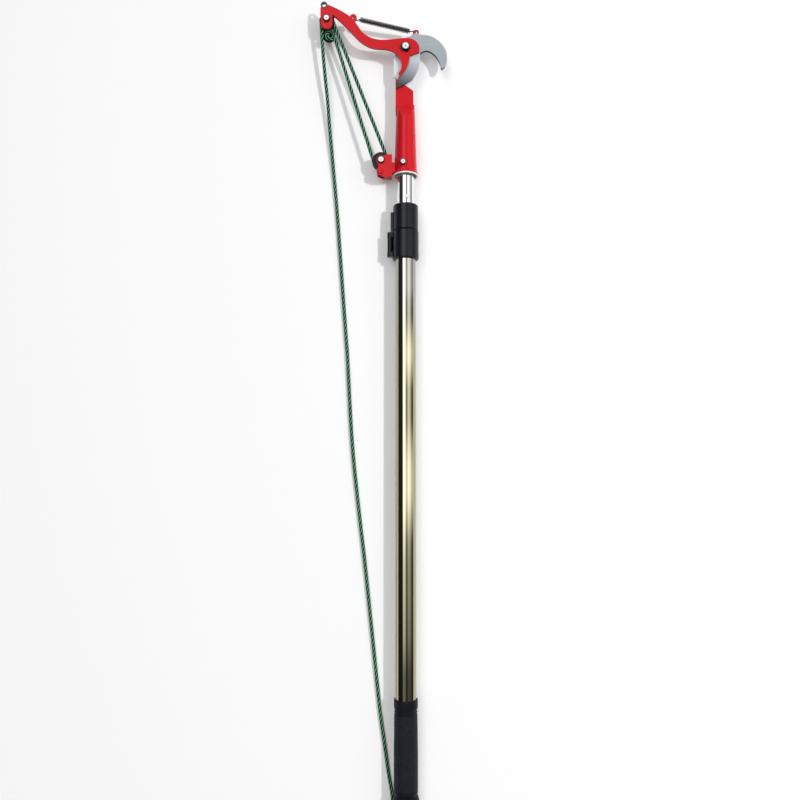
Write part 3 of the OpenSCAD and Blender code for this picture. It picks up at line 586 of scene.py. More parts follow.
@dataclass
class Studio:
    """The camera, the pale floor and the lights."""

    camera_at: Vector = field(default_factory=lambda: Vector((-0.0077, 0.462, 0.995)))
    camera_tilt: float = 4.0
    focal_px: float = 737.0
    image_px: float = 800.0
    sensor_mm: float = 36.0
    nearest: float = 0.01
    farthest: float = 50.0
    floor_size: float = 12.0
    floor_middle: float = 0.5
    floor_gap: float = 0.1 * MM
    floor_colour: Colour = (0.80, 0.80, 0.81)
    floor_roughness: float = 0.9
    glow_colour: Colour = (1.0, 0.995, 0.985)
    glow: float = 0.15
    key_at: Vector = field(default_factory=lambda: Vector((2.45, 1.15, 3.45)))
    key_aim: Vector = field(default_factory=lambda: Vector((0.0, 0.55, 0.0)))
    key_size: float = 0.15
    key_watts: float = 88.0
    room_across: Pairs = (
        (0.00, 0.005), (0.19, 0.002), (0.24, 0.28), (0.27, 1.00), (0.43, 1.00), (0.50, 0.24), (0.55, 0.15),
        (0.60, 0.08), (0.66, 0.18), (0.70, 0.46), (0.78, 0.42), (0.86, 0.36), (0.92, 0.23), (0.96, 0.06),
        (1.00, 0.01),
    )
    room_along: Pairs = (
        (0.0, 0.07), (0.33, 0.07), (0.36, 0.09), (0.38, 0.28), (0.403, 0.38), (0.425, 0.44), (0.447, 0.68),
        (0.468, 1.0), (0.645, 1.0), (0.665, 0.88), (0.70, 0.71), (0.74, 0.48), (1.0, 0.25),
    )
    lamps_across: Pairs = ((0.0, 0.0), (0.44, 0.0), (0.50, 0.34), (1.0, 0.34))
    lamps_along: Pairs = (
        (0.0, 0.0), (0.44, 0.0), (0.457, 0.5), (0.472, 1.0), (0.490, 1.0), (0.503, 0.6), (0.520, 0.0),
        (0.543, 0.0), (0.555, 0.6), (0.562, 1.0), (0.570, 1.0), (0.578, 0.6), (0.590, 0.0), (0.60, 0.0),
        (0.61, 0.4), (0.64, 0.2), (0.66, 0.0), (1.0, 0.0),
    )
    room_light: float = 3.2
    room_dim: float = 0.02

    def make_camera(self) -> None:
        """Set the camera at the photograph's viewing point."""
        data = bpy.data.cameras.new("camera")
        data.sensor_width = self.sensor_mm
        data.lens = self.sensor_mm * self.focal_px / self.image_px
        data.clip_start = self.nearest
        data.clip_end = self.farthest
        camera = bpy.data.objects.new("camera", data)
        camera.location = self.camera_at
        camera.rotation_euler = (math.radians(self.camera_tilt), 0.0, 0.0)
        bpy.context.scene.collection.objects.link(camera)
        bpy.context.scene.camera = camera

    def make_floor(self) -> None:
        """Lay the pale floor that takes the shadows."""
        shape = bmesh.new()
        bmesh.ops.create_grid(shape, x_segments=1, y_segments=1, size=self.floor_size / 2)
        bmesh.ops.translate(shape, verts=shape.verts, vec=(0.0, self.floor_middle, FLOOR_Z - self.floor_gap))
        mesh = mesh_of(shape)
        mesh.materials.append(self._floor_material())
        floor = bpy.data.objects.new("floor", mesh)
        bpy.context.scene.collection.objects.link(floor)

    def _floor_material(self) -> bpy.types.Material:
        """Build a pale paper that the camera and shiny pieces see nearly white.

        Returns:
            The floor's material.
        """
        paper = bpy.data.materials.new("floor_paper")
        paper.use_nodes = True
        tree = paper.node_tree
        shader = tree.nodes["Principled BSDF"]
        shader.inputs["Base Color"].default_value = (*self.floor_colour, 1.0)
        shader.inputs["Roughness"].default_value = self.floor_roughness
        shader.inputs["Specular IOR Level"].default_value = 0.0
        shader.inputs["Emission Color"].default_value = (*self.glow_colour, 1.0)
        path = tree.nodes.new("ShaderNodeLightPath").outputs
        seen = add_maths(tree, "MAXIMUM", {0: path["Is Camera Ray"], 1: path["Is Glossy Ray"]})
        glow = add_maths(tree, "MULTIPLY", {0: seen}, {1: self.glow})
        tree.links.new(glow, shader.inputs["Emission Strength"])
        return paper

    def make_lights(self) -> None:
        """Hang the square key lamp and set the room's own light."""
        data = bpy.data.lights.new("key_lamp", "AREA")
        data.shape = "SQUARE"
        data.size = self.key_size
        data.energy = self.key_watts
        lamp = bpy.data.objects.new("key_lamp", data)
        lamp.visible_glossy = False
        lamp.location = self.key_at
        lamp.rotation_euler = (self.key_aim - self.key_at).to_track_quat("-Z", "Y").to_euler()
        bpy.context.scene.collection.objects.link(lamp)
        self._room()

    def _room(self) -> None:
        """Light the room from above, with a dark wall and with lamps that shiny tubes show as bands."""
        world = bpy.data.worlds.new("room")
        bpy.context.scene.world = world
        world.use_nodes = True
        tree = world.node_tree
        back = tree.nodes["Background"]
        place = tree.nodes.new("ShaderNodeTexCoord").outputs["Generated"]
        way = add_node(tree, "ShaderNodeSeparateXYZ", {"Vector": place}).outputs
        parts = {}
        lights = ((self.room_across, self.room_along), (self.lamps_across, self.lamps_along))
        for number, light in enumerate(lights):
            ramps = {}
            for axis, stops in enumerate(light):
                share = add_node(tree, "ShaderNodeMapRange", {"Value": way[axis]}, {"From Min": -1.0})
                greys = [(at, (level, level, level)) for at, level in stops]
                ramps[axis] = add_ramp(tree, share.outputs["Result"], greys)
            parts[number] = add_maths(tree, "MULTIPLY", ramps)
        whole = add_maths(tree, "ADD", parts)
        bright = add_maths(tree, "MULTIPLY_ADD", {0: whole}, {1: self.room_light, 2: self.room_dim})
        camera_ray = tree.nodes.new("ShaderNodeLightPath").outputs["Is Camera Ray"]
        seen = add_node(tree, "ShaderNodeMix", {"Factor": camera_ray, "A": bright}, {"B": 1.0})
        tree.links.new(seen.outputs["Result"], back.inputs["Strength"])
        back.inputs["Color"].default_value = (1.0, 1.0, 1.0, 1.0)


@dataclass
class RopeWork:
    """The rope: its knot, its runs round the two pulleys, its long fall and the hank of spare length."""

    diameter: float = 5.0 * MM
    pitch: float = 21.3 * MM
    step: float = 1.4 * MM
    strand_sides: int = 8
    upper_r: float = 8.0 * MM
    lower_r: float = 9.8 * MM
    turn_steps: int = 48
    bend_steps: int = 12
    least_keep: float = 0.05
    knot_at: Vector = field(default_factory=lambda: Vector((4.2, -18.8, 0.0)) * MM)
    knot_r: float = 5.6 * MM
    knot_reach: float = 0.77
    knot_exit: float = -40.0
    knot_turns: float = 1.15
    knot_start: float = 0.6
    knot_dip: float = 1.1 * MM
    knot_waves: float = 1.5
    knot_steps: int = 120
    into_knot: float = 3.0 * MM
    becket_r: float = 5.8 * MM
    becket_drop: float = 7.0 * MM
    becket_steps: int = 9
    legs_x: float = 3.5 * MM
    leg_steps: int = 8
    fall_upper_points: Sequence[Point] = (
        (-0.1169, 1.040, 0.0010), (-0.1139, 1.000, -0.0025), (-0.1095, 0.955, -0.0070),
        (-0.1060, 0.910, -0.0115), (-0.1015, 0.860, -0.0146), (-0.0955, 0.795, -0.0154),
        (-0.0880, 0.695, -0.0154),
    )
    fall_middle: Point = (-0.0810, 0.605, -0.0154)
    fall_way: Point = (8.0, -100.0, 0.0)
    fall_lower_points: Sequence[Point] = (
        (-0.0735, 0.480, -0.0154), (-0.0650, 0.395, -0.0154), (-0.0555, 0.315, -0.0154),
        (-0.0470, 0.236, -0.0154), (-0.0395, 0.165, -0.0154), (-0.0340, 0.115, -0.0154),
        (-0.0280, 0.072, -0.0154), (-0.0225, 0.034, -0.0154), (-0.0182, 0.010, -0.0154),
    )
    fall_path_step: float = 4.0 * MM
    spare_path_step: float = 2.0 * MM
    hank_loops: int = 4
    hank_in: float = 15.0 * MM
    hank_gap: float = 0.6 * MM
    hank_layer_gap: float = 0.7 * MM
    hank_run: float = 75.0 * MM
    hank_pinch: float = 0.2
    hank_waist: float = 18.0 * MM
    hank_turn_in: float = 0.35
    hank_from: float = 146.0
    hank_evenness: float = 15.8
    hank_left: float = -15.75 * MM
    hank_below: float = 8.0 * MM
    hank_steps: int = 120
    climb_early: float = 0.15
    climb_loops: float = 0.4
    tie_thick: float = 1.0 * MM
    tie_clear: float = 0.3 * MM
    tie_round: float = 0.35

    def __post_init__(self) -> None:
        """Take the pulleys' places from the frame and work out where the runs touch them."""
        self.upper = centre_of("upper_pulley")
        self.lower = centre_of("lower_pulley")
        self.rope_z = self.upper.z
        self.knot = self.upper + self.knot_at
        self.knot.z = centre_of("rope_knot").z
        self.becket_z = centre_of("rope_becket").z
        self.run_2_angle = self.second_run_angle(self.upper)
        self.knot_out = self.knot_r + self.knot_reach * self.diameter
        level_knot = Vector((self.knot.x, self.knot.y, self.rope_z))
        self.run_1_top = on_circle(level_knot, self.knot_out, math.radians(self.knot_exit))
        lead = self.run_1_top - self.lower
        lead.z = 0.0
        self.run_1_angle = math.atan2(lead.y, lead.x) + math.acos(self.lower_r / lead.length)
        self.middle = Vector(self.fall_middle)
        self.middle_lead = 2 * self.diameter * Vector(self.fall_way).normalized()

    def second_run_angle(self, upper: Vector) -> float:
        """Give the second run's angle on both pulleys, in radians, for a place of the upper one."""
        way = upper - self.lower
        return math.atan2(way.y, way.x) - math.acos((self.lower_r - self.upper_r) / way.length)

    def swung(self, point: Vector) -> Vector:
        """Give the place to which the lever takes a point at its far limit.

        Args:
            point: A point of the lever at rest.

        Returns:
            The place.
        """
        hinge = next(joint for joint in frame["joints"] if joint["name"] == "lever_hinge")
        pivot = Vector(hinge["pos_m"])
        turn = Matrix.Rotation(math.radians(hinge["range_deg"][1]), 3, Vector(hinge["axis"]))
        return pivot + turn @ (point - pivot)

    def on_upper(self, angle: float) -> Vector:
        """Give the rope's middle at an angle in radians on the upper pulley."""
        return on_circle(self.upper, self.upper_r, angle)

    def on_lower(self, angle: float) -> Vector:
        """Give the rope's middle at an angle in radians on the lower pulley."""
        return on_circle(self.lower, self.lower_r, angle)

    def laid(self, route: Sequence[Vector]) -> bpy.types.Mesh:
        """Lay the rope's strands along a route.

        Args:
            route: The rope's middle line.

        Returns:
            The mesh of the twisted strands.
        """
        line = evenly(route, self.step)
        half = self.diameter / 2
        strands: list[list[Vector]] = [[] for _ in ROPE_STRANDS]
        ahead = (line[1] - line[0]).normalized()
        across = ahead.orthogonal().normalized()
        walked = 0.0
        for i, point in enumerate(line):
            ahead = (line[min(i + 1, len(line) - 1)] - line[max(i - 1, 0)]).normalized()
            across = (across - across.dot(ahead) * ahead).normalized()
            up = ahead.cross(across)
            if i:
                walked += (point - line[i - 1]).length
            for strand, points in zip(ROPE_STRANDS, strands):
                turn = math.tau * (walked / self.pitch + strand.start)
                points.append(point + strand.reach * half * (math.cos(turn) * across + math.sin(turn) * up))
        radii = [strand.thickness * half for strand in ROPE_STRANDS]
        return round_tubes(strands, radii, self.strand_sides)

    def hank_point(self, loops: float) -> Vector:
        """Give one point of the hank.

        Args:
            loops: How many loops it is from the hank's start.

        Returns:
            The point: the hank winds in on the lower layer and out on the upper one.
        """
        half = self.hank_loops / 2
        step = (self.diameter + self.hank_gap) / (1 - self.hank_pinch)
        widest = self.hank_in + step * half
        middle_x = self.hank_left - widest * math.cos(self._hank_turn(self.hank_from))
        middle_y = -self.hank_below - self.diameter / 2 - widest - self.hank_run / 2
        turn = self._hank_turn(self.hank_from + 360.0 * loops)
        radius = self.hank_in + step * abs(half - loops)
        straight = max(-1.0, min(1.0, math.sin(turn) / self.hank_turn_in))
        along = radius * math.sin(turn) + self.hank_run / 2 * straight
        drawn_in = 1 - self.hank_pinch * math.exp(-((along / self.hank_waist) ** 2))
        low = FLOOR_Z + self.tie_thick + self.tie_clear + self.diameter / 2
        climbed = ease((loops - half + self.climb_early) / self.climb_loops)
        z = low + (self.diameter + self.hank_layer_gap) * climbed
        return Vector((middle_x + radius * math.cos(turn) * drawn_in, middle_y + along, z))

    def _hank_turn(self, degrees: float) -> float:
        """Even out the angle round the hank, so that its runs have as many points as its folds."""
        return math.radians(degrees - self.hank_evenness * math.sin(math.radians(2 * degrees)))

    def make_fall(self) -> None:
        """Make the fall from the upper pulley to the pole's middle."""
        start = self.on_upper(math.pi)
        below = start - self.diameter * ALONG
        bend = [below, *map(Vector, self.fall_upper_points), self.middle - self.middle_lead]
        route = [start, *sampled(bend, self.bend_steps), self.middle]
        piece = put("rope_fall", self.laid(route), ROPE_FINISHES, "head", "rope_fall_upper")
        evenly(route, self.fall_path_step)
        self.follow_lever(piece)

    def make_spare(self) -> None:
        """Make the lying stretch beside the pole and the hank of spare rope at its end."""
        steps = self.hank_steps
        hank = [self.hank_point(i / steps) for i in range(steps * self.hank_loops + 1)]
        tail = hank[-1] + self.diameter * (hank[-1] - hank[-2]).normalized()
        ahead = self.diameter * ALONG
        entry = hank[0] + 2 * ahead
        bend = [self.middle + self.middle_lead, *map(Vector, self.fall_lower_points), entry + ahead]
        route = [self.middle, *sampled(bend, self.bend_steps), entry, entry - ahead, *hank, tail]
        piece = linked("rope_spare", self.laid(route), ROPE_FINISHES)
        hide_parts("rope_fall_lower", "rope_hank")
        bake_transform(piece)
        tie = mesh_of(solid_copy("hank_tie", self.tie_round))
        strap = put("hank_strap", tie, [STRAP_WEAVE], "pole", "hank_tie")
        evenly(route, self.spare_path_step)

    def make_tackle(self) -> None:
        """Make the runs between the pulleys, the turns round them, the loop on the axle and its knot."""
        low_1, low_2 = self.on_lower(self.run_1_angle), self.on_lower(self.run_2_angle)
        top_2 = self.on_upper(self.run_2_angle)
        top_1 = self.run_1_top + self.into_knot * (self.run_1_top - low_1).normalized()
        far_upper, far_knot = self.swung(self.upper), self.swung(self.knot)
        far_knot.z = self.rope_z
        far_1 = far_knot + (self.knot_out - self.into_knot) * (low_1 - far_knot).normalized()
        far_2 = far_upper + self.on_upper(self.second_run_angle(far_upper)) - self.upper
        for name, node, top, low, far in (
            ("rope_first_run", "rope_run_1", top_1, low_1, far_1),
            ("rope_second_run", "rope_run_2", top_2, low_2, far_2),
        ):
            run = put(name, self.laid([top, low]), ROPE_FINISHES, "head", node)
            self.follow_lever(run)
        under = map(self.on_lower, self._angles(self.run_1_angle, self.run_2_angle + math.tau))
        over = map(self.on_upper, self._angles(self.run_2_angle, math.pi))
        for name, body, node, route in (
            ("rope_under_turn", "head", "rope_lower_turn", list(under)),
            ("rope_over_turn", "lever", "rope_upper_turn", list(over)),
            ("rope_loop", "lever", "rope_becket", self._loop()),
            ("rope_knot_wraps", "lever", "rope_knot", self._knot()),
        ):
            put(name, self.laid(route), ROPE_FINISHES, body, node)

    def _angles(self, first: float, last: float) -> list[float]:
        """Give the angles of the rope's middle line round a pulley from the first to the last, in radians."""
        return [first + (last - first) * i / self.turn_steps for i in range(self.turn_steps + 1)]

    def _loop(self) -> list[Vector]:
        """Run the loop that goes round the upper axle.

        Returns:
            Its middle line.
        """
        down = Vector((self.knot.x, self.knot.y, self.becket_z))
        axle = Vector((self.upper.x, self.upper.y, self.becket_z))
        side = Vector((self.legs_x, 0.0, 0.0))
        wide = Vector((self.becket_r, 0.0, 0.0))
        rise = self.diameter * ALONG
        waist = axle - self.becket_drop * ALONG
        arc = [math.pi * (1 - i / self.becket_steps) for i in range(self.becket_steps + 1)]
        over = [on_circle(axle, self.becket_r, angle) for angle in arc]
        left = [down - side, down - side + rise, waist - wide]
        right = [waist + wide, down + side + rise, down + side]
        return sampled([*left, *over, *right], self.leg_steps)

    def _knot(self) -> list[Vector]:
        """Wind the knot: a ring that goes round a little more than once and dips under itself.

        Returns:
            Its middle line.
        """
        line = []
        for i in range(self.knot_steps + 1):
            angle = math.tau * (self.knot_turns * i / self.knot_steps) + self.knot_start
            dip = self.knot_dip * math.cos(self.knot_waves * angle)
            line.append(on_circle(self.knot, self.knot_r, angle) + Vector((0.0, 0.0, dip)))
        return line

    def follow_lever(self, piece: bpy.types.Object) -> None:
        """Give a run a mesh of its own.

        Args:
            piece: The run.
        """
        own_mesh(piece)


@dataclass
class Pole:
    """The outer tube with its hand grip, end cap and the two collars with their lock."""

    tube_r: float = 14.0
    tube_wall: float = 1.2
    tube_lip: float = 0.2
    tube_steps: int = 144
    clear: float = 0.05
    grip_r: float = 15.9
    grip_flare: float = 1.5
    grip_edge: float = 0.4
    grip_taper: float = 0.6
    grip_sharp: float = 38.0
    groove: float = 0.8
    ridge_up: float = 10.0
    band_down: float = 12.0
    hatch_sunk: float = 0.7
    hatch_ramp: float = 0.8
    hatch_low: float = 4.0
    hatch_high: float = 5.0
    diamond_depth: float = 0.35
    diamonds_round: int = 22
    diamond_half: float = 2.2
    diamond_gap: float = 0.42
    axis_gap: float = 0.001
    roundings: Roundings = (
        ("collar_lower", 0.5), ("collar_upper", 0.5), ("lock_lever", 0.5), ("lock_pin", 0.2),
    )

    def make(self) -> None:
        """Build the pole's pieces."""
        self._tube()
        self._grip()
        self._cap()
        for node, rounding in self.roundings:
            put_rounded(node, rounding)

    def _tube(self) -> None:
        """Spin the polished outer tube."""
        low, high = (corner.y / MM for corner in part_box("outer_tube"))
        r, lip = self.tube_r, self.tube_lip
        inside = r - self.tube_wall
        outside = [(r - lip, low), (r, low + lip), (r, high - lip), (r - lip, high)]
        shape = turned([(inside, low), *outside, (inside, high)], self.tube_steps)
        put("tube_polished", mesh_of(shape), [GOLD_TUBE], "pole", "outer_tube")

    def _grip(self) -> None:
        """Turn the grip's sleeve and raise the diamonds of its cross-hatched part."""
        low, high = (corner.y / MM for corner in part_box("grip"))
        middle = (low + high) / 2
        r, bore, cut, edge = self.grip_r, self.tube_r + self.clear, self.groove, self.grip_edge
        wide, slim, sunk = r + self.grip_flare, r - self.grip_taper, self.hatch_sunk
        ridge, band = low + self.ridge_up, high - self.band_down
        hatch_low, hatch_high = ridge + self.hatch_low, band - self.hatch_high
        flare = [(bore, low), (wide - edge, low), (wide, low + edge), (wide, low + 1.8)]
        low_groove = [
            (r + 0.1, ridge - 3.2), (r - 0.2, ridge - 2.7), (r - cut, ridge - 2), (r - cut, ridge),
            (r - 0.2, ridge + 0.8), (r, ridge + 1.4),
        ]
        bed = [
            (r, hatch_low - self.hatch_ramp), (r - sunk, hatch_low), (r - sunk, middle),
            (slim - sunk, hatch_high), (slim, hatch_high + self.hatch_ramp),
        ]
        high_groove = [
            (slim, band - 4), (slim - cut, band - 3), (slim - cut, band - 0.5), (r - 0.5, band - 0.1),
            (r - 0.2, band + 0.4),
        ]
        rim = [(r - 0.2, high - 1.2), (r - 0.5, high - edge), (r - 1, high), (bore, high)]
        shape = turned([*flare, *low_groove, *bed, *high_groove, *rim])
        self._diamonds(shape, hatch_low, hatch_high, middle)
        put("grip_hatched", mesh_of(shape), GRIP_FINISHES, "pole", "grip", sharp=self.grip_sharp)

    def _diamonds(self, shape: Shape, low: float, high: float, middle: float) -> None:
        """Wind rings of diamonds round the grip: each ring is half a diamond on from the one below.

        Args:
            shape: The bmesh that takes them.
            low: Where they start along the pole, in millimetres.
            high: Where they end.
            middle: Where the grip starts to grow slimmer.
        """
        base = self.grip_r - self.diamond_depth
        rows = int((high - low) / self.diamond_half)
        half_turn = math.pi / self.diamonds_round
        ring = bmesh.ops.create_circle(
            shape, cap_ends=False, segments=self.diamonds_round, radius=base * MM
        )["verts"]
        bmesh.ops.rotate(shape, verts=ring, cent=(0, 0, 0), matrix=Matrix.Rotation(-math.pi / 2, 3, "X"))
        bmesh.ops.translate(shape, verts=ring, vec=(0, low * MM, 0))
        edges = list({edge for vert in ring for edge in vert.link_edges})
        corners = set(ring)
        inner: list[bmesh.types.BMEdge] = []
        for row in range(rows):
            grown = bmesh.ops.extrude_edge_only(shape, edges=edges)["geom"]
            new = [item for item in grown if isinstance(item, bmesh.types.BMVert)]
            walls = [item for item in grown if isinstance(item, bmesh.types.BMFace)]
            rims = [item for item in grown if isinstance(item, bmesh.types.BMEdge)]
            edges = [edge for edge in rims if all(vert in new for vert in edge.verts)]
            before = low + row * self.diamond_half
            at = before + self.diamond_half
            scale = self._sleeve_r(base, at, middle, high) / self._sleeve_r(base, before, middle, high)
            turn = half_turn if row % 2 == 0 else -half_turn
            bmesh.ops.translate(shape, verts=new, vec=(0, self.diamond_half * MM, 0))
            bmesh.ops.rotate(shape, verts=new, cent=(0, 0, 0), matrix=Matrix.Rotation(turn, 3, "Y"))
            bmesh.ops.scale(shape, verts=new, vec=(scale, 1, scale))
            self._cross(shape, walls)
            corners.update(new)
            if row < rows - 1:
                inner.extend(edges)
        bmesh.ops.dissolve_edges(shape, edges=inner, use_verts=False)
        diamonds = [face for face in shape.faces if len(face.verts) == 4 and corners.issuperset(face.verts)]
        bmesh.ops.recalc_face_normals(shape, faces=shape.faces)
        flanks = bmesh.ops.inset_individual(
            shape, faces=diamonds, thickness=self.diamond_gap * MM, depth=self.diamond_depth * MM,
            use_even_offset=True
        )["faces"]
        for flank in flanks:
            flank.material_index = GRIP_FINISHES.index(GRIP_GROOVE)

    def _cross(self, shape: Shape, walls: Sequence[bmesh.types.BMFace]) -> None:
        """Join the nearer corners of each leaning wall face, so that the faces become triangles.

        Args:
            shape: The bmesh that holds them.
            walls: The four-sided faces of one ring.
        """
        for wall in walls:
            a, b, c, d = wall.verts
            pair = (a, c) if (a.co - c.co).length < (b.co - d.co).length else (b, d)
            bmesh.ops.connect_vert_pair(shape, verts=pair)

    def _sleeve_r(self, base: float, at: float, middle: float, high: float) -> float:
        """Give the sleeve's radius at a place along the grip, in millimetres."""
        return base - self.grip_taper * max(0.0, at - middle) / (high - middle)

    def _cap(self) -> None:
        """Turn the end cap with a rounded rim and a plug that goes into the tube."""
        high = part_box("end_cap")[1]
        r, top = high.x / MM, high.y / MM
        plug = self.tube_r - self.tube_wall - self.clear
        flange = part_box("outer_tube")[0].y / MM
        butt = [(self.axis_gap, 0.0), (r - 1.5, 0.0), (r - 0.9, 0.25), (r - 0.25, 0.9), (r, 1.5)]
        shoulder = [(r, flange - 0.4), (r - 0.4, flange), (plug, flange)]
        shape = turned([*butt, *shoulder, (plug, top - 1), (plug - 1, top), (self.axis_gap, top)])
        put("cap_rounded", mesh_of(shape), [BLACK_PLASTIC], "pole", "end_cap")


@dataclass
class Head:
    """The inner tube, the ferrule, the hook, the parts round the pivot, the spring and the four bolts."""

    tube_r: float = 12.0
    tube_wall: float = 1.0
    tube_steps: int = 128
    roundings: Roundings = (
        ("stop_rivet", 0.2), ("spring_anchor", 0.3), ("pivot_washer", 0.25), ("pivot_nut", 0.3),
        ("pulley_bracket", 0.45), ("lower_axle_nut", 0.3), ("guard_rivet", 0.25),
    )
    bolts: Sequence[str] = ("ferrule_bolt", "pivot_bolt", "lower_axle_bolt", "upper_axle_bolt")
    bolt_round: float = 0.3
    crown_facing: float = 0.9
    crown_rim: float = 0.6
    dimple_r: float = 1.0
    dimple_slope: float = 0.3
    dimple_deep: float = 0.4
    ferrule_round: float = 0.4
    bare_lip: float = 1.6
    mouth_deep: float = 90.0
    bore_from: float = 1.0
    hook_round: float = 0.35
    edge_from: float = 16.0
    edge_facing: float = -0.2
    edge_upright: float = 0.8
    tang_from: float = -4.0
    tang_half: float = 25.0
    wire_r: float = 0.8
    wire_past: float = 1.2
    wire_sides: int = 8
    coil_r: float = 2.9
    curls: int = 32
    coil_lead: float = 7.5
    eye_pull: float = 0.8
    lug_at: Vector = field(default_factory=lambda: Vector((-72.7, 43.0, 0.0)))
    lug_r: float = 4.9
    anchor_at: Vector = field(default_factory=lambda: Vector((14.8, 28.0, 0.0)))
    tab_r: float = 4.4
    points_per_curl: int = 20

    def make(self) -> None:
        """Build the head's pieces."""
        self._tube()
        self._ferrule()
        self._hook()
        for node, rounding in self.roundings:
            put_rounded(node, rounding)
        for node in self.bolts:
            self._bolt(node)
        self._spring()

    def _tube(self) -> None:
        """Spin the polished inner tube."""
        low, high = (corner.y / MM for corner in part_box("inner_tube"))
        inside = self.tube_r - self.tube_wall
        outline = [(inside, low), (self.tube_r, low), (self.tube_r, high), (inside, high)]
        shape = turned(outline, self.tube_steps)
        put("inner_polished", mesh_of(shape), [SILVER_TUBE], "head", "inner_tube")

    def _ferrule(self) -> None:
        """Round the ferrule, bare the metal of its mouth rim and give its inside a finish of its own."""
        finishes = [RED_PAINT, BARE_RIM, MOUTH_INSIDE]
        shape = solid_copy("ferrule", self.ferrule_round)
        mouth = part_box("ferrule")[0].y
        lip = mouth + self.bare_lip * MM
        slice_across(shape, lip * ALONG)
        for face in shape.faces:
            middle = face.calc_center_median()
            out = Vector((middle.x, 0.0, middle.z))
            facing_in = face.normal.dot(out) < 0 and out.length > self.bore_from * MM
            if facing_in and middle.y < mouth + self.mouth_deep * MM:
                face.material_index = finishes.index(MOUTH_INSIDE)
            elif middle.y < lip:
                face.material_index = finishes.index(BARE_RIM)
        put("ferrule_painted", mesh_of(shape), finishes, "head", "ferrule")

    def _hook(self) -> None:
        """Round the hook, paint shade on its cutting edge's down-facing sides, leave its tang paler than its
        blade.
        """
        finishes = [BLADE_STEEL, TANG_STEEL, PAINTED_EDGE_SHADE]
        shape = solid_copy("hook_blade", self.hook_round)
        cut = centre_of("pivot_washer") + self.tang_from * MM * ALONG
        slice_across(shape, cut)
        for face in shape.faces:
            middle = face.calc_center_median()
            # Down-facing side faces along the cutting edge take the near-black painted shade.
            on_edge = face.normal.y < self.edge_facing and abs(face.normal.z) < self.edge_upright
            if on_edge and middle.x > cut.x + self.edge_from * MM:
                face.material_index = finishes.index(PAINTED_EDGE_SHADE)
            elif middle.y < cut.y and middle.x < cut.x + self.tang_half * MM:
                face.material_index = finishes.index(TANG_STEEL)
        put("hook_ground", mesh_of(shape), finishes, "head", "hook_blade")

    def _bolt(self, node: str) -> None:
        """Give a bolt a bright crown with a small dimple, and paint its flanks, crown ring and dimple dark as
        painted shade.

        Args:
            node: The bolt's node.
        """
        finishes = [BRIGHT_METAL, DARK_STEEL_AND_SHADE]
        bright, dark = range(len(finishes))
        shape = solid_copy(node, self.bolt_round)
        shape.normal_update()
        # Faces that don't face up take the dark finish: painted shade on the flanks.
        for face in shape.faces:
            face.material_index = bright if face.normal.z >= self.crown_facing else dark
        crown = max(shape.faces, key=lambda face: face.calc_center_median().z)
        # A dark ring round the crown and a dark dimple in it: painted shade.
        rim = bmesh.ops.inset_individual(shape, faces=[crown], thickness=self.crown_rim * MM)["faces"]
        for face in rim:
            face.material_index = dark
        crown.material_index = bright
        crown_r = math.sqrt(crown.calc_area() / math.pi)
        bmesh.ops.inset_individual(shape, faces=[crown], thickness=crown_r - self.dimple_r * MM)
        bmesh.ops.inset_individual(
            shape, faces=[crown], thickness=self.dimple_slope * MM, depth=-self.dimple_deep * MM
        )
        crown.material_index = dark
        put(f"{node}_crowned", mesh_of(shape), finishes, NODE_BODIES[node], node)

    def _spring(self) -> None:
        """Wind the return spring between the lever's lug and the anchor tab."""
        lug, anchor = self._eye("lever_arm", self.lug_at), self._eye("spring_anchor", self.anchor_at)
        axis = (anchor - lug).normalized()
        side = Vector((0, 0, 1)).cross(axis).normalized()
        up = axis.cross(side)
        start, end = lug + self.eye_pull * MM * axis, anchor - self.eye_pull * MM * axis
        lever_low, lever_high = (corner.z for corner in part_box("lever_arm"))
        tab_low, tab_high = (corner.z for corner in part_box("spring_anchor"))
        past = self.wire_past * MM
        over_lug = Vector((start.x, start.y, lever_high + past))
        under_lug = Vector((start.x, start.y, lever_low - past))
        over_tab = Vector((end.x, end.y, tab_high + past))
        under_tab = Vector((end.x, end.y, tab_low - past))
        lead = self.coil_lead * MM
        run = (end - start).length - 2 * lead
        line = [over_lug, under_lug, under_lug + (self.lug_r + self.wire_r) * MM * axis]
        for i in range(self.curls * self.points_per_curl + 1):
            s = i / self.points_per_curl
            r = self.coil_r * MM * ease(s) * ease(self.curls - s)
            turn = math.tau * s
            middle = start + (lead + run * s / self.curls) * axis
            line.append(middle + r * (math.cos(turn) * side + math.sin(turn) * up))
        line += [over_tab - (self.tab_r + self.wire_r) * MM * axis, over_tab, under_tab]
        mesh = round_tubes([line], [self.wire_r * MM], self.wire_sides)
        piece = linked("spring_wire", mesh, [SPRING_WIRE])
        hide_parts("return_spring")
        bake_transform(piece)

    def _eye(self, node: str, offset: Vector) -> Vector:
        """Give the middle of a plate's eye for the spring, from its millimetres off the pivot."""
        pivot = centre_of("pivot_washer")
        return Vector((pivot.x, pivot.y, centre_of(node).z)) + offset * MM


@dataclass
class Lever:
    """The lever arm with its blade and hanging eye, and the two pulleys."""

    roundings: Roundings = (
        ("lever_arm", 0.7), ("pulley_cheek", 0.5), ("upper_axle_nut", 0.3), ("upper_pulley", 0.2),
        ("lower_pulley", 0.2),
    )
    blade_round: float = 0.3
    eye_round: float = 0.6

    def make(self) -> None:
        """Build the lever's pieces and the two pulleys."""
        for node, rounding in self.roundings:
            put_rounded(node, rounding)
        put_rounded("hang_eye", self.eye_round, EYE_STEEL)
        blade = mesh_of(solid_copy("cutting_blade", self.blade_round))
        put("blade_ground", blade, [CUTTING_STEEL], "lever", "cutting_blade")


def dress_left_nodes() -> None:
    """Give every node of the frame its slot's finish, for those that no piece replaces."""
    for name, node in frame["nodes"].items():
        dress(node.data, [SLOT_FINISHES[NODE_SLOTS[name]]])


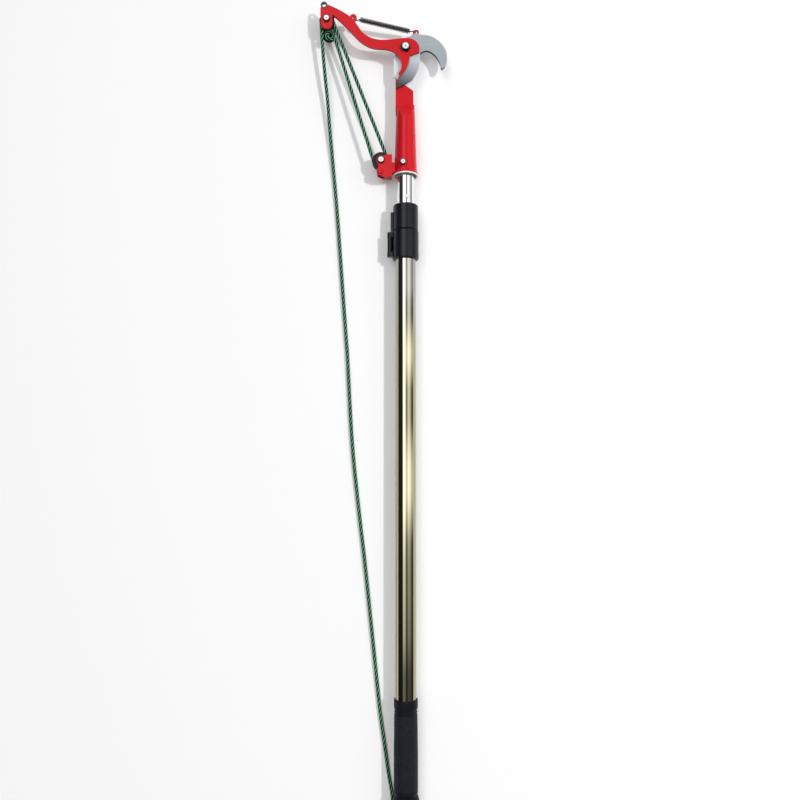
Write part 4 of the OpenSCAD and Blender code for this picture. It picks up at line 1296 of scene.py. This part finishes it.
def main() -> None:
    """Build the studio, the rope and the dressed pieces in order."""
    logging.basicConfig(level=logging.INFO, format="%(message)s")
    bpy.context.scene.view_settings.view_transform = "Standard"
    studio = Studio()
    studio.make_camera()
    rope = RopeWork()
    rope.make_fall()
    rope.make_spare()
    rope.make_tackle()
    Pole().make()
    Head().make()
    Lever().make()
    dress_left_nodes()
    studio.make_floor()
    studio.make_lights()


if __name__ == "__main__":
    main()
